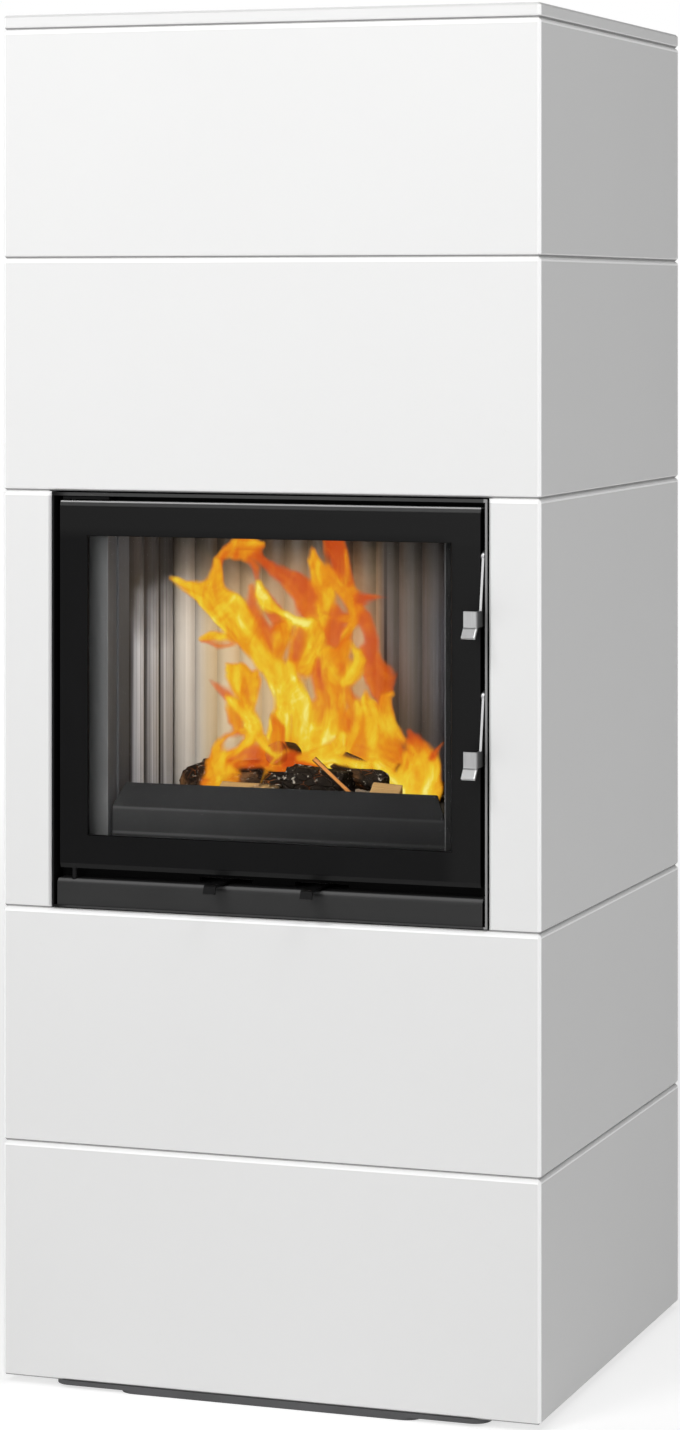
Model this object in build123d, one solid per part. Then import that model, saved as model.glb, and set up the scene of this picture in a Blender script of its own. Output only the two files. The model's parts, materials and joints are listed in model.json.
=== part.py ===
"""A tall heat-storing stove: cast rings stacked round a steel fire insert with a glass door.

Millimetres. X runs to the right seen from the front, -Y is the front and Z is up. The origin is the
middle of the casing's footprint, on the floor. Each function makes one piece or one set of like pieces.
"""

import math
import os

from build123d import *

# --- Casing: cast rings, seen from the front 680 wide, 623 deep and 1657 high
CASING_WIDTH = 680.0
CASING_DEPTH = 623.0
CASING_WALL = 63.0
EDGE_CHAMFER = 3.0
BOTTOM_RING = 285.0  # heights of the rings, each with the joint above it
LOWER_RING = 284.0
DOOR_RING = 504.0
UPPER_RING = 281.0
TOP_RING = 277.0
TOP_PLATE = 17.0
BED_JOINT = 1.0  # adhesive between two rings
BED_INSET = 3.5  # how far it stays back from the faces

# --- Steel plates under the casing
FLOOR_PLATE_INSET = 150.0  # from each side of the casing
FLOOR_PLATE_THICKNESS = 3.5
CARRIER_INSET = 66.0
CARRIER_THICKNESS = 5.5
PLATE_CORNER = 20.0
PLATE_REAR_INSET = 20.0

# --- Sheet sleeve in the opening of the door ring
SLEEVE_GAP = 1.9  # between the cast ring and the sleeve
SLEEVE_SHEET = 2.4
SLEEVE_LIP = 4.0  # the folded top edge

# --- Door
DOOR_GAP_SIDE = 6.7
DOOR_GAP_TOP = 6.1
DOOR_GAP_SILL = 12.7
DOOR_RECESS = 3.0  # behind the casing's front
DOOR_THICKNESS = 22.0
DOOR_SLOPE_HEIGHT = 6.5  # the sloped strips along the top and bottom
DOOR_SLOPE_DEPTH = 2.5
DOOR_BORDER_SIDE = 36.0
DOOR_BORDER_TOP = 42.0
DOOR_BORDER_BOTTOM = 41.0
DOOR_FACE_SHEET = 4.0  # metal in front of the glass
DOOR_HEEL_CHAMFER = 8.0  # lets the hinge edge turn past the flange
WINDOW_CHAMFER = 1.0
GLASS_OVERLAP = 6.0  # glass behind the metal border
GLASS_PLAY = 1.0
GLASS_THICKNESS = 4.0
GASKET_THICKNESS = 1.0
GASKET_WIDTH = 5.0
CLIP_LENGTH = 30.0
CLIP_WIDTH = 11.5
CLIP_SHEET = 1.5
CLIP_COUNT = 2  # along the top, and as many along the bottom
SCREW_RADIUS = 2.0
SCREW_HEAD_RADIUS = 3.6  # across the corners
SCREW_HEAD = 2.2
SCREW_DEPTH = 8.0
SEAL_WIDTH = 8.0
SEAL_PROUD = 3.0
SEAL_GROOVE = 5.0
SEAL_EDGE = 18.0  # from the door's edge to the seal
SEAL_CLEARANCE = 0.3  # from the seal to the flange

# --- Hinges
HINGE_INSET = 17.0  # axis to the door's left edge
HINGE_BACK = 5.5  # axis to the door's face
HINGE_PIN_RADIUS = 3.0
HINGE_CLEARANCE = 0.05
HINGE_END_PLAY = 0.5  # above and below the pins
HINGE_PIN_BITE = 15.0  # pin inside the door
HINGE_PLATE = 3.0
HINGE_PLATE_LENGTH = 60.0
HINGE_PLATE_EDGE = 13.0  # from the axis to the plate's outer end
HINGE_LIFT = 2.0  # plate above the door
LOWER_BRACKET_LENGTH = 34.0
LOWER_BRACKET_DROP = 10.5  # below the sill's top

# --- Latch levers of bent stainless sheet
LATCH_SHEET = 3.0
LATCH_GAP = 2.0  # between the door's edge and the lever
LATCH_DROP = 57.0  # upper pivot below the door's top
LATCH_PITCH = 163.0
LATCH_PIVOT_BACK = 6.5  # pivot behind the door's face
LATCH_EYE_RADIUS = 7.0
LATCH_PIVOT_RADIUS = 2.5
LATCH_PIVOT_HEAD = 1.0
LATCH_CLEARANCE = 0.05
LATCH_REACH = 62.0  # pivot to the side arm
LATCH_STRIP = 13.0
LATCH_LEAN = 10.5  # how far the strip's lower end comes forward
LATCH_ARM_HEIGHT = 18.7
LATCH_ARM_REACH = 34.0  # pivot to the front of the tab
LATCH_TAB_WIDTH = 17.0
LATCH_LIP_DROP = 12.0
LATCH_LIP_REACH = 10.0
LATCH_FOLD_RADIUS = 2.2
CATCH_RADIUS = 2.5
CATCH_BACK = 11.0  # catch pin behind the pivot
CATCH_CLEARANCE = 0.3
HOOK_NOSE = 3.2
HOOK_ARM = 4.0
HOOK_RISE = 0.5  # nose above the catch pin's axis

# --- Sill panel and air levers
SILL_HEIGHT = 32.0
SILL_SHEET = 2.5
SILL_RADIUS = 6.0
SILL_RECESS = 1.5
SILL_END_GAP = 3.9
SILL_PIN_PLAY = 1.0  # round the lower hinge pin
LEVER_SPACING = 122.0
LEVER_WIDTH = 15.0
LEVER_SHEET = 3.0
LEVER_LIFT = 1.5  # above the sill
LEVER_REACH = 24.0  # in front of the casing
LEVER_TIP_DROP = 9.0
LEVER_TIP_REACH = 4.0
LEVER_TRAVEL = 25.0  # each way from the middle

# --- Firebox: smooth plates beside the door, then ribbed sides and a ribbed back
FIREBOX_INSET = 16.0  # the smooth plates start this far inside the window's sides
FIREBOX_TAPER = 4.0  # how far each smooth plate comes in towards the ribbed side
FIREBOX_DEPTH = 196.0  # flange to the back panel
LINING_THICKNESS = 30.0
SIDE_RIB_PITCH = 47.5
RIB_RISE = 6.0
BACK_RIBS = 14
SIDE_RIBS = 3
SIDE_BEAD_RADIUS = 2.5
SIDE_BEAD_PLACE = 0.42  # share of the side plate's length
SHELL_SHEET = 4.0
FLANGE_SHEET = 4.0
FIRE_OPENING_MARGIN = 8.0  # the flange's opening reaches past the window by this
HEARTH_RISE = 37.0  # above the window's lower edge
HEARTH_FRONT_GAP = 22.0
HEARTH_PLAY = 1.0  # to the crests of the ribs
LINING_TOP_RISE = 18.0  # above the window's upper edge
BAFFLE_THICKNESS = 28.0
BAFFLE_FRONT_GAP = 75.0
SHELL_TOP_RISE = 50.0  # above the window's upper edge
GUARD_SHEET = 3.0
GUARD_END_GAP = 3.0  # to the smooth sides
GUARD_BEND_RISE = 32.0  # above the window's lower edge
GUARD_TOP_RISE = 59.0
GUARD_LEAN = 12.0
GUARD_FRONT_GAP = 3.0
GUARD_CORNER = 14.0  # taken off each end between the bend and the top

# --- Smoke path
HOOD_RISE = 105.0
HOOD_FRONT_GAP = 10.0  # behind the cast ring's front wall
NECK_RADIUS = 90.0
NECK_RISE = 28.0
NECK_SHEET = 3.0
NECK_RIM = 8.0  # flat ledge round the neck
STORAGE_SIDE = 310.0
STORAGE_HEIGHT = 90.0
STORAGE_BORE = 70.0
STORAGE_EDGE = 18.0
STORAGE_FRONT_GAP = 8.5  # behind the cast ring's front wall
FLUE_RADIUS = 70.0  # inside of the elbow
FLUE_SHEET = 2.0
FLUE_BEND = 92.0
BEND_GORES = 3  # mitres in a quarter bend of pipe
FLUE_RISE = 10.0
PIPE_PLAY = 0.3  # between a pipe's end and the collar round it
FLUE_SOCKET_RADIUS = 75.3  # takes a 150 flue pipe
FLUE_SOCKET_LENGTH = 55.0
FLUE_HOLE_GAP = 16.0
FLUE_ROSETTE = 22.0  # square plate beyond the socket

# --- Fresh air
AIR_AXIS_SETBACK = 145.0  # behind the flange
AIR_AXIS_HEIGHT = 151.0  # above the carrier plate
AIR_RADIUS = 45.0
AIR_SHEET = 2.0
AIR_BEND = 130.0
AIR_SOCKET_RADIUS = 50.3  # takes a 100 duct
AIR_SOCKET_LENGTH = 45.0
AIR_HOLE_GAP = 6.0
AIR_ROSETTE = 14.0
AIR_BOX_SHEET = 3.0
AIR_BOX_INSET = 14.0  # inside the firebox's front corners
SLIDE_LENGTH = 60.0
SLIDE_DEPTH = 70.0
SLIDE_PORT_LENGTH = 24.0  # along the travel, so that the travel closes it
SLIDE_PORT_DEPTH = 40.0
SLIDE_EDGE = 6.0  # metal behind the port
SLIDE_CLEARANCE = 0.3
SLIDE_REST = 20.0  # shelf behind the slides
AIR_SLOT_PLAY = 1.2

# --- Stand of the insert
STAND_TUBE = 30.0
STAND_FOOT_SIDE = 44.0
STAND_FOOT_PLATE = 6.0
STAND_FOOT_SCREW = 8.0
STAND_FOOT_HEIGHT = 24.0
STAND_INSET = 30.0  # middle of a leg inside the air box's side
STAND_FRONT_GAP = 10.0  # behind the cast rings' front wall

# --- Levels and planes worked out from the sizes above
HALF_WIDTH = CASING_WIDTH / 2
FRONT = -CASING_DEPTH / 2
REAR = CASING_DEPTH / 2
OPENING = HALF_WIDTH - CASING_WALL  # half the clear width inside the casing
Z_BOTTOM = FLOOR_PLATE_THICKNESS + CARRIER_THICKNESS
Z_LOWER = Z_BOTTOM + BOTTOM_RING
Z_DOOR = Z_LOWER + LOWER_RING
Z_UPPER = Z_DOOR + DOOR_RING
Z_TOP = Z_UPPER + UPPER_RING
Z_LID = Z_TOP + TOP_RING

SLEEVE_OUT = OPENING - SLEEVE_GAP
SLEEVE_IN = SLEEVE_OUT - SLEEVE_SHEET
DOOR_HALF = SLEEVE_IN - DOOR_GAP_SIDE
DOOR_TOP = Z_UPPER - SLEEVE_GAP - SLEEVE_LIP - DOOR_GAP_TOP
SILL_BASE = Z_DOOR + SLEEVE_GAP + SLEEVE_SHEET
SILL_TOP = SILL_BASE + SILL_HEIGHT
DOOR_BASE = SILL_TOP + DOOR_GAP_SILL
DOOR_FACE = FRONT + DOOR_RECESS
DOOR_BACK = DOOR_FACE + DOOR_THICKNESS
WINDOW_HALF = DOOR_HALF - DOOR_BORDER_SIDE
WINDOW_BASE = DOOR_BASE + DOOR_BORDER_BOTTOM
WINDOW_TOP = DOOR_TOP - DOOR_BORDER_TOP
GLASS_FRONT = DOOR_FACE + DOOR_FACE_SHEET + GASKET_THICKNESS
GLASS_BACK = GLASS_FRONT + GLASS_THICKNESS
HINGE_X = -DOOR_HALF + HINGE_INSET
HINGE_Y = DOOR_FACE + HINGE_BACK
LATCH_X = DOOR_HALF + LATCH_GAP
LATCH_Y = DOOR_FACE + LATCH_PIVOT_BACK
LATCH_HEIGHTS = [DOOR_TOP - LATCH_DROP, DOOR_TOP - LATCH_DROP - LATCH_PITCH]

FLANGE_FRONT = DOOR_BACK + SEAL_PROUD + SEAL_CLEARANCE
FLANGE_BACK = FLANGE_FRONT + FLANGE_SHEET
FIREBOX_FLOOR = WINDOW_BASE - FIRE_OPENING_MARGIN
LINING_TOP = WINDOW_TOP + LINING_TOP_RISE
SHELL_TOP = WINDOW_TOP + SHELL_TOP_RISE
BACK_Y = FLANGE_BACK + FIREBOX_DEPTH
FIREBOX_HALF_FRONT = WINDOW_HALF - FIREBOX_INSET
BACK_HALF = FIREBOX_HALF_FRONT - FIREBOX_TAPER
RIBS_FRONT = BACK_Y - SIDE_RIBS * SIDE_RIB_PITCH
BACK_RIB_PITCH = 2 * BACK_HALF / BACK_RIBS
GUARD_HALF_WIDTH = FIREBOX_HALF_FRONT - GUARD_END_GAP
AIR_BOX_HALF_WIDTH = FIREBOX_HALF_FRONT - AIR_BOX_INSET
STAND_HALF_WIDTH = AIR_BOX_HALF_WIDTH - STAND_INSET

AIR_BOX_TOP = FIREBOX_FLOOR - SHELL_SHEET
AIR_BOX_REAR = BACK_Y + LINING_THICKNESS
LEVER_BASE = SILL_TOP + LEVER_LIFT
SLIDE_BASE = LEVER_BASE + LEVER_SHEET
LEVER_PLACES = [-LEVER_SPACING / 2, LEVER_SPACING / 2]
AIR_BOX_BASE = SILL_TOP - SILL_SHEET - AIR_BOX_SHEET
AIR_AXIS_Y = FLANGE_BACK + AIR_AXIS_SETBACK
AIR_AXIS_Z = Z_BOTTOM + AIR_AXIS_HEIGHT
CAVITY_FRONT = FRONT + CASING_WALL  # inside of the closed rings' front wall
FLUE_AXIS_Y = CAVITY_FRONT + STORAGE_FRONT_GAP + STORAGE_SIDE / 2
NECK_BASE = SHELL_TOP + HOOD_RISE
STORAGE_BASE = NECK_BASE + NECK_RISE
FLUE_BASE = STORAGE_BASE + 2 * STORAGE_HEIGHT
FLUE_AXIS_Z = FLUE_BASE + FLUE_RISE + FLUE_BEND


# --- Helpers
def block(x0, x1, y0, y1, z0, z1):
    """A box between two corners."""
    middle = Pos((x0 + x1) / 2, (y0 + y1) / 2, (z0 + z1) / 2)
    return middle * Box(x1 - x0, y1 - y0, z1 - z0)


def upright(sketch, z0, z1):
    """A plan outline raised from z0 to z1."""
    return extrude(Pos(0, 0, z0) * sketch, amount=z1 - z0)


def across(sketch, x0, x1):
    """A side profile, drawn as (Y, Z), carried from x0 to x1."""
    return extrude(Plane.YZ.offset(x0) * sketch, amount=x1 - x0)


def facing(sketch, y0, y1):
    """A front outline, drawn as (X, Z), carried from y0 to y1."""
    return extrude(Plane.XZ.offset(-y0) * sketch, amount=y0 - y1)


def outline(*points):
    """A closed straight-sided face."""
    return make_face(Polyline(*points, close=True))


def bent_strip(points, sheet, radius):
    """The profile of a bent sheet whose middle line runs through the points."""
    return trace(FilletPolyline(*points, radius=radius), line_width=sheet)


def rod_x(x0, x1, y, z, radius):
    """A round bar along X."""
    return Pos((x0 + x1) / 2, y, z) * Rot(0, 90, 0) * Cylinder(radius, x1 - x0)


def rod_y(x, y0, y1, z, radius):
    """A round bar along Y."""
    return Pos(x, (y0 + y1) / 2, z) * Rot(90, 0, 0) * Cylinder(radius, y1 - y0)


def rod_z(x, y, z0, z1, radius):
    """A round bar along Z."""
    return Pos(x, y, (z0 + z1) / 2) * Cylinder(radius, z1 - z0)


def frame_xz(half, base, top, y0, y1, width):
    """A flat rectangular frame that stands behind the door: outer half width, base, top and bar width."""
    body = block(-half, half, y0, y1, base, top)
    return body - block(-half + width, half - width, y0, y1, base + width, top - width)


def mirrored(part):
    """The left-hand twin of a right-hand piece."""
    return mirror(part, about=Plane.YZ)


# --- Base and casing
def base_plate(side_inset, z0, thickness):
    """A steel plate flush with the casing's front, with rounded corners."""
    width = CASING_WIDTH - 2 * side_inset
    depth = CASING_DEPTH - PLATE_REAR_INSET
    shape = Pos(0, FRONT + depth / 2) * RectangleRounded(width, depth, PLATE_CORNER)
    return upright(shape, z0, z0 + thickness)


def casing_block(z0, z1):
    """A cast block with every outer edge chamfered."""
    body = block(-HALF_WIDTH, HALF_WIDTH, FRONT, REAR, z0, z1)
    return chamfer(body.edges(), EDGE_CHAMFER)


def casing_ring(z0, pitch):
    """A hollow cast ring; its joint lies above it."""
    z1 = z0 + pitch - BED_JOINT
    hollow = block(-OPENING, OPENING, FRONT + CASING_WALL, REAR - CASING_WALL, z0, z1)
    return casing_block(z0, z1) - hollow


def bottom_ring():
    radius = AIR_SOCKET_RADIUS + AIR_SHEET + AIR_HOLE_GAP
    return casing_ring(Z_BOTTOM, BOTTOM_RING) - rod_y(0, REAR - CASING_WALL, REAR, AIR_AXIS_Z, radius)


def door_ring():
    """The tall ring is open at the front, so that it grips the insert from three sides."""
    front_gap = block(-OPENING, OPENING, FRONT, FRONT + CASING_WALL, Z_DOOR, Z_UPPER - BED_JOINT)
    ring = casing_ring(Z_DOOR, DOOR_RING) - front_gap
    front_edges = ring.edges().filter_by(Axis.Z).group_by(Axis.Y)[0]
    pillar_edges = [edge for edge in front_edges if abs(abs(edge.center().X) - OPENING) < BED_JOINT]
    return chamfer(pillar_edges, EDGE_CHAMFER)


def top_ring():
    radius = FLUE_SOCKET_RADIUS + FLUE_SHEET + FLUE_HOLE_GAP
    return casing_ring(Z_TOP, TOP_RING) - rod_y(0, REAR - CASING_WALL, REAR, FLUE_AXIS_Z, radius)


def bedding_joint(z_above, open_front):
    """The bead under the ring or slab at z_above, kept back from the faces."""
    z0 = z_above - BED_JOINT
    half = HALF_WIDTH - BED_INSET
    bead = block(-half, half, FRONT + BED_INSET, REAR - BED_INSET, z0, z_above)
    edge = CASING_WALL - BED_INSET
    front = FRONT if open_front else FRONT + edge
    return bead - block(-HALF_WIDTH + edge, HALF_WIDTH - edge, front, REAR - edge, z0, z_above)


def bedding_joints():
    closed = [bedding_joint(z, False) for z in (Z_LOWER, Z_DOOR, Z_TOP, Z_LID)]
    return closed + [bedding_joint(Z_UPPER, True)]


# --- Sleeve, flange, sill and hinges
def insert_frame():
    """Thin sheet sleeve: sides and base of sheet, and a folded lip along the top."""
    base = Z_DOOR + SLEEVE_GAP
    top = Z_UPPER - SLEEVE_GAP
    body = block(-SLEEVE_OUT, SLEEVE_OUT, FRONT, FLANGE_FRONT, base, top)
    return body - block(-SLEEVE_IN, SLEEVE_IN, FRONT, FLANGE_FRONT, base + SLEEVE_SHEET, top - SLEEVE_LIP)


def front_flange():
    """The plate that the door's seal meets, with the fire opening and the slots of the air levers."""
    base = Z_DOOR + SLEEVE_GAP
    plate = block(-SLEEVE_OUT, SLEEVE_OUT, FLANGE_FRONT, FLANGE_BACK, base, Z_UPPER - SLEEVE_GAP)
    top = WINDOW_TOP + FIRE_OPENING_MARGIN
    plate -= block(-FIREBOX_HALF_FRONT, FIREBOX_HALF_FRONT, FLANGE_FRONT, FLANGE_BACK, FIREBOX_FLOOR, top)
    for middle in LEVER_PLACES:
        plate -= lever_slot(middle, FLANGE_FRONT, FLANGE_BACK)
    return plate


def lever_slot(middle, y0, y1):
    """The clear way of an air lever over its whole travel."""
    half = LEVER_WIDTH / 2 + LEVER_TRAVEL + AIR_SLOT_PLAY
    z0 = LEVER_BASE - AIR_SLOT_PLAY
    z1 = LEVER_BASE + LEVER_SHEET + AIR_SLOT_PLAY
    return block(middle - half, middle + half, y0, y1, z0, z1)


def sill_panel():
    """Bent sheet below the door, rounded over its top edge."""
    face = FRONT + SILL_RECESS + SILL_SHEET / 2
    top = SILL_TOP - SILL_SHEET / 2
    profile = bent_strip([(face, SILL_BASE), (face, top), (FLANGE_FRONT, top)], SILL_SHEET, SILL_RADIUS)
    end = SLEEVE_IN - SILL_END_GAP
    pin_hole = rod_z(HINGE_X, HINGE_Y, SILL_TOP - SILL_RADIUS, SILL_TOP, HINGE_PIN_RADIUS + SILL_PIN_PLAY)
    return across(profile, -end, end) - pin_hole


def hinge_plate(z0, length, front):
    """A flat bracket on the flange that reaches forward round the hinge axis."""
    start = HINGE_X - HINGE_PLATE_EDGE
    plate = block(start, start + length, front, FLANGE_FRONT, z0, z0 + HINGE_PLATE)
    return plate - rod_z(HINGE_X, HINGE_Y, z0, z0 + HINGE_PLATE, HINGE_PIN_RADIUS)


def hinge_plate_upper():
    return hinge_plate(DOOR_TOP + HINGE_LIFT, HINGE_PLATE_LENGTH, DOOR_FACE)


def hinge_plate_lower():
    """Hidden behind the sill's face, it carries the pin that the door stands on."""
    front = FRONT + SILL_RECESS + SILL_SHEET + SLIDE_CLEARANCE
    return hinge_plate(SILL_TOP - LOWER_BRACKET_DROP, LOWER_BRACKET_LENGTH, front)


def hinge_pins():
    upper = (DOOR_TOP - HINGE_PIN_BITE, DOOR_TOP + HINGE_LIFT + HINGE_PLATE)
    lower = (SILL_TOP - LOWER_BRACKET_DROP, DOOR_BASE + HINGE_PIN_BITE)
    return [rod_z(HINGE_X, HINGE_Y, z0, z1, HINGE_PIN_RADIUS) for z0, z1 in (upper, lower)]


def catch_pins():
    """Pins in the sleeve's right wall that the latch hooks close on."""
    y = LATCH_Y + CATCH_BACK
    return [rod_x(LATCH_X - LATCH_GAP / 2, SLEEVE_IN, y, z, CATCH_RADIUS) for z in LATCH_HEIGHTS]


# --- Door
def door_frame():
    """Cast frame: sloped along its top and bottom, rebated behind for the glass, grooved for the seal."""
    profile = outline(
        (DOOR_BACK, DOOR_BASE),
        (DOOR_FACE + DOOR_SLOPE_DEPTH, DOOR_BASE),
        (DOOR_FACE, DOOR_BASE + DOOR_SLOPE_HEIGHT),
        (DOOR_FACE, DOOR_TOP - DOOR_SLOPE_HEIGHT),
        (DOOR_FACE + DOOR_SLOPE_DEPTH, DOOR_TOP),
        (DOOR_BACK, DOOR_TOP),
    )
    body = across(profile, -DOOR_HALF, DOOR_HALF)
    heel = body.edges().filter_by(Axis.Z).group_by(Axis.Y)[-1].sort_by(Axis.X)[0]
    body = chamfer(heel, DOOR_HEEL_CHAMFER)
    window = block(-WINDOW_HALF, WINDOW_HALF, DOOR_FACE, DOOR_BACK, WINDOW_BASE, WINDOW_TOP)
    window += window_bevel()
    reach = GLASS_OVERLAP + GLASS_PLAY
    rebate = block(
        -WINDOW_HALF - reach, WINDOW_HALF + reach, DOOR_FACE + DOOR_FACE_SHEET, DOOR_BACK,
        WINDOW_BASE - reach, WINDOW_TOP + reach,
    )
    body = body - window - rebate - clip_pockets() - seal_ring(DOOR_BACK - SEAL_GROOVE, DOOR_BACK)
    bore = HINGE_PIN_RADIUS + HINGE_CLEARANCE
    bite = HINGE_PIN_BITE + HINGE_END_PLAY
    body -= rod_z(HINGE_X, HINGE_Y, DOOR_TOP - bite, DOOR_TOP, bore)
    body -= rod_z(HINGE_X, HINGE_Y, DOOR_BASE, DOOR_BASE + bite, bore)
    for z in LATCH_HEIGHTS:
        body -= rod_x(DOOR_HALF - SCREW_DEPTH, DOOR_HALF, LATCH_Y, z, LATCH_PIVOT_RADIUS)
    for x, z, _ in clip_places():
        body -= rod_y(x, DOOR_BACK - CLIP_SHEET - SCREW_DEPTH, DOOR_BACK, z, SCREW_RADIUS)
    return body


def window_bevel():
    """The small slope round the front of the window."""
    front = Pos(0, DOOR_FACE, (WINDOW_BASE + WINDOW_TOP) / 2) * Rot(90, 0, 0)
    width = 2 * WINDOW_HALF
    height = WINDOW_TOP - WINDOW_BASE
    outer = front * Rectangle(width + 2 * WINDOW_CHAMFER, height + 2 * WINDOW_CHAMFER)
    inner = Pos(0, WINDOW_CHAMFER, 0) * front * Rectangle(width, height)
    return loft([outer.face(), inner.face()], ruled=True)


def seal_ring(y0, y1):
    """The square path of the seal behind the door."""
    half = DOOR_HALF - SEAL_EDGE
    return frame_xz(half, DOOR_BASE + SEAL_EDGE, DOOR_TOP - SEAL_EDGE, y0, y1, SEAL_WIDTH)


def door_seal():
    """Fibre seal: flat in its groove and rounded where it meets the flange."""
    seal = seal_ring(DOOR_BACK - SEAL_GROOVE, DOOR_BACK + SEAL_PROUD)
    crown = seal.faces().sort_by(Axis.Y)[-1].edges()
    return fillet(crown, SEAL_PROUD - SEAL_CLEARANCE)


def door_glass():
    half = WINDOW_HALF + GLASS_OVERLAP
    base = WINDOW_BASE - GLASS_OVERLAP
    return block(-half, half, GLASS_FRONT, GLASS_BACK, base, WINDOW_TOP + GLASS_OVERLAP)


def glass_gasket():
    half = WINDOW_HALF + GLASS_OVERLAP
    base = WINDOW_BASE - GLASS_OVERLAP
    seat = DOOR_FACE + DOOR_FACE_SHEET
    return frame_xz(half, base, WINDOW_TOP + GLASS_OVERLAP, seat, GLASS_FRONT, GASKET_WIDTH)


def clip_places():
    """Middle of each glass clip's screw, and the side that its tongue points to."""
    xs = [(i - (CLIP_COUNT - 1) / 2) * WINDOW_HALF / (CLIP_COUNT / 2) for i in range(CLIP_COUNT)]
    offset = GLASS_OVERLAP + GLASS_PLAY + SCREW_HEAD_RADIUS
    rows = [(WINDOW_BASE - offset, 1), (WINDOW_TOP + offset, -1)]
    return [(x, z, side) for z, side in rows for x in xs]


def clip_plan(x, z, side, y0, y1):
    """The flat part of a clip, from beside its screw to over the glass."""
    far = z - side * SCREW_HEAD_RADIUS
    near = far + side * CLIP_WIDTH
    return block(x - CLIP_LENGTH / 2, x + CLIP_LENGTH / 2, y0, y1, min(far, near), max(far, near))


def clip_pockets():
    """Shallow seats that keep the clips below the door's back."""
    pockets = [clip_plan(x, z, side, DOOR_BACK - CLIP_SHEET, DOOR_BACK) for x, z, side in clip_places()]
    return Part() + pockets


def glass_clips():
    """Each clip lies in its seat, open at one end for its screw, and steps down on to the glass."""
    clips = []
    for x, z, side in clip_places():
        flat = clip_plan(x, z, side, DOOR_BACK - CLIP_SHEET, DOOR_BACK)
        end = z + side * (CLIP_WIDTH - SCREW_HEAD_RADIUS)
        tongue = end - side * CLIP_SHEET
        half = CLIP_LENGTH / 2
        foot = block(x - half, x + half, GLASS_BACK, DOOR_BACK, min(end, tongue), max(end, tongue))
        ends = sorted((z + side * SCREW_RADIUS, z - side * SCREW_HEAD_RADIUS))
        slot = block(x - SCREW_RADIUS, x + SCREW_RADIUS, DOOR_BACK - CLIP_SHEET, DOOR_BACK, *ends)
        clips.append(flat + foot - slot)
    return clips


def glass_screws():
    screws = []
    for x, z, _ in clip_places():
        shank = rod_y(x, DOOR_BACK - CLIP_SHEET - SCREW_DEPTH, DOOR_BACK, z, SCREW_RADIUS)
        hexagon = Pos(x, z) * RegularPolygon(SCREW_HEAD_RADIUS, 6)
        screws.append(shank + facing(hexagon, DOOR_BACK, DOOR_BACK + SCREW_HEAD))
    return screws


# --- Latches
def latch_lever(pivot_z):
    """A lever cut and bent from one sheet: eye, hook, leaning strip, side arm, folded tab and finger lip."""
    reach = pivot_z - LATCH_REACH
    arm_base = reach - LATCH_ARM_HEIGHT
    half = LATCH_STRIP / 2
    tab_front = LATCH_Y - LATCH_ARM_REACH
    strip = outline(
        (LATCH_Y - half, pivot_z),
        (LATCH_Y - half - LATCH_LEAN, reach),
        (tab_front + LATCH_FOLD_RADIUS, reach),
        (tab_front + LATCH_FOLD_RADIUS, arm_base),
        (LATCH_Y + half - LATCH_LEAN, arm_base),
        (LATCH_Y + half, pivot_z),
    )
    eye = Pos(LATCH_Y, pivot_z) * Circle(LATCH_EYE_RADIUS)
    plate = strip + eye + hook_profile(pivot_z)
    lever = across(plate, LATCH_X, LATCH_X + LATCH_SHEET) + latch_tab(reach, arm_base, tab_front)
    bore = rod_x(LATCH_X, LATCH_X + LATCH_SHEET, LATCH_Y, pivot_z, LATCH_PIVOT_RADIUS + LATCH_CLEARANCE)
    return lever - bore


def hook_profile(pivot_z):
    """The hook passes under the catch pin and rises behind it."""
    nose = LATCH_Y + CATCH_BACK + CATCH_RADIUS + CATCH_CLEARANCE
    floor = pivot_z - CATCH_RADIUS - CATCH_CLEARANCE
    return outline(
        (LATCH_Y, floor),
        (nose, floor),
        (nose, pivot_z + HOOK_RISE),
        (nose + HOOK_NOSE, pivot_z + HOOK_RISE),
        (nose + HOOK_NOSE, floor - HOOK_ARM),
        (LATCH_Y, floor - HOOK_ARM),
    )


def latch_tab(top, base, front):
    """The tab folded to the left across the arm's end, with the lip that a finger pulls."""
    middle = front + LATCH_SHEET / 2
    line = [(middle, top), (middle, base), (middle - LATCH_LIP_REACH, base - LATCH_LIP_DROP)]
    right = LATCH_X + LATCH_SHEET
    tab = across(bent_strip(line, LATCH_SHEET, LATCH_FOLD_RADIUS), right - LATCH_TAB_WIDTH, right)
    fold = tab.edges().filter_by(Axis.Z).group_by(Axis.Y)[0].sort_by(Axis.X)[-1]
    return fillet(fold, LATCH_FOLD_RADIUS)


def latch_pivots():
    """Shouldered screws in the door's edge that the levers turn on."""
    pivots = []
    end = LATCH_X + LATCH_SHEET + SLIDE_CLEARANCE
    head_radius = LATCH_EYE_RADIUS - LATCH_PIVOT_RADIUS
    for z in LATCH_HEIGHTS:
        shank = rod_x(DOOR_HALF - SCREW_DEPTH, end, LATCH_Y, z, LATCH_PIVOT_RADIUS)
        head = rod_x(end, end + LATCH_PIVOT_HEAD, LATCH_Y, z, head_radius)
        spacer = rod_x(DOOR_HALF, LATCH_X - SLIDE_CLEARANCE, LATCH_Y, z, head_radius)
        pivots.append(shank + head + spacer)
    return pivots


# --- Firebox
def firebox_plan(grow):
    """The inside outline of the lining, moved out by grow, from the front flange round the back."""
    lean = math.atan2(FIREBOX_TAPER, RIBS_FRONT - FLANGE_BACK)
    front = (FIREBOX_HALF_FRONT + grow / math.cos(lean), FLANGE_BACK)
    corner = (BACK_HALF + grow, RIBS_FRONT + grow * math.tan(lean / 2))
    back = (BACK_HALF + grow, BACK_Y + grow)
    return [front, corner, back]


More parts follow.
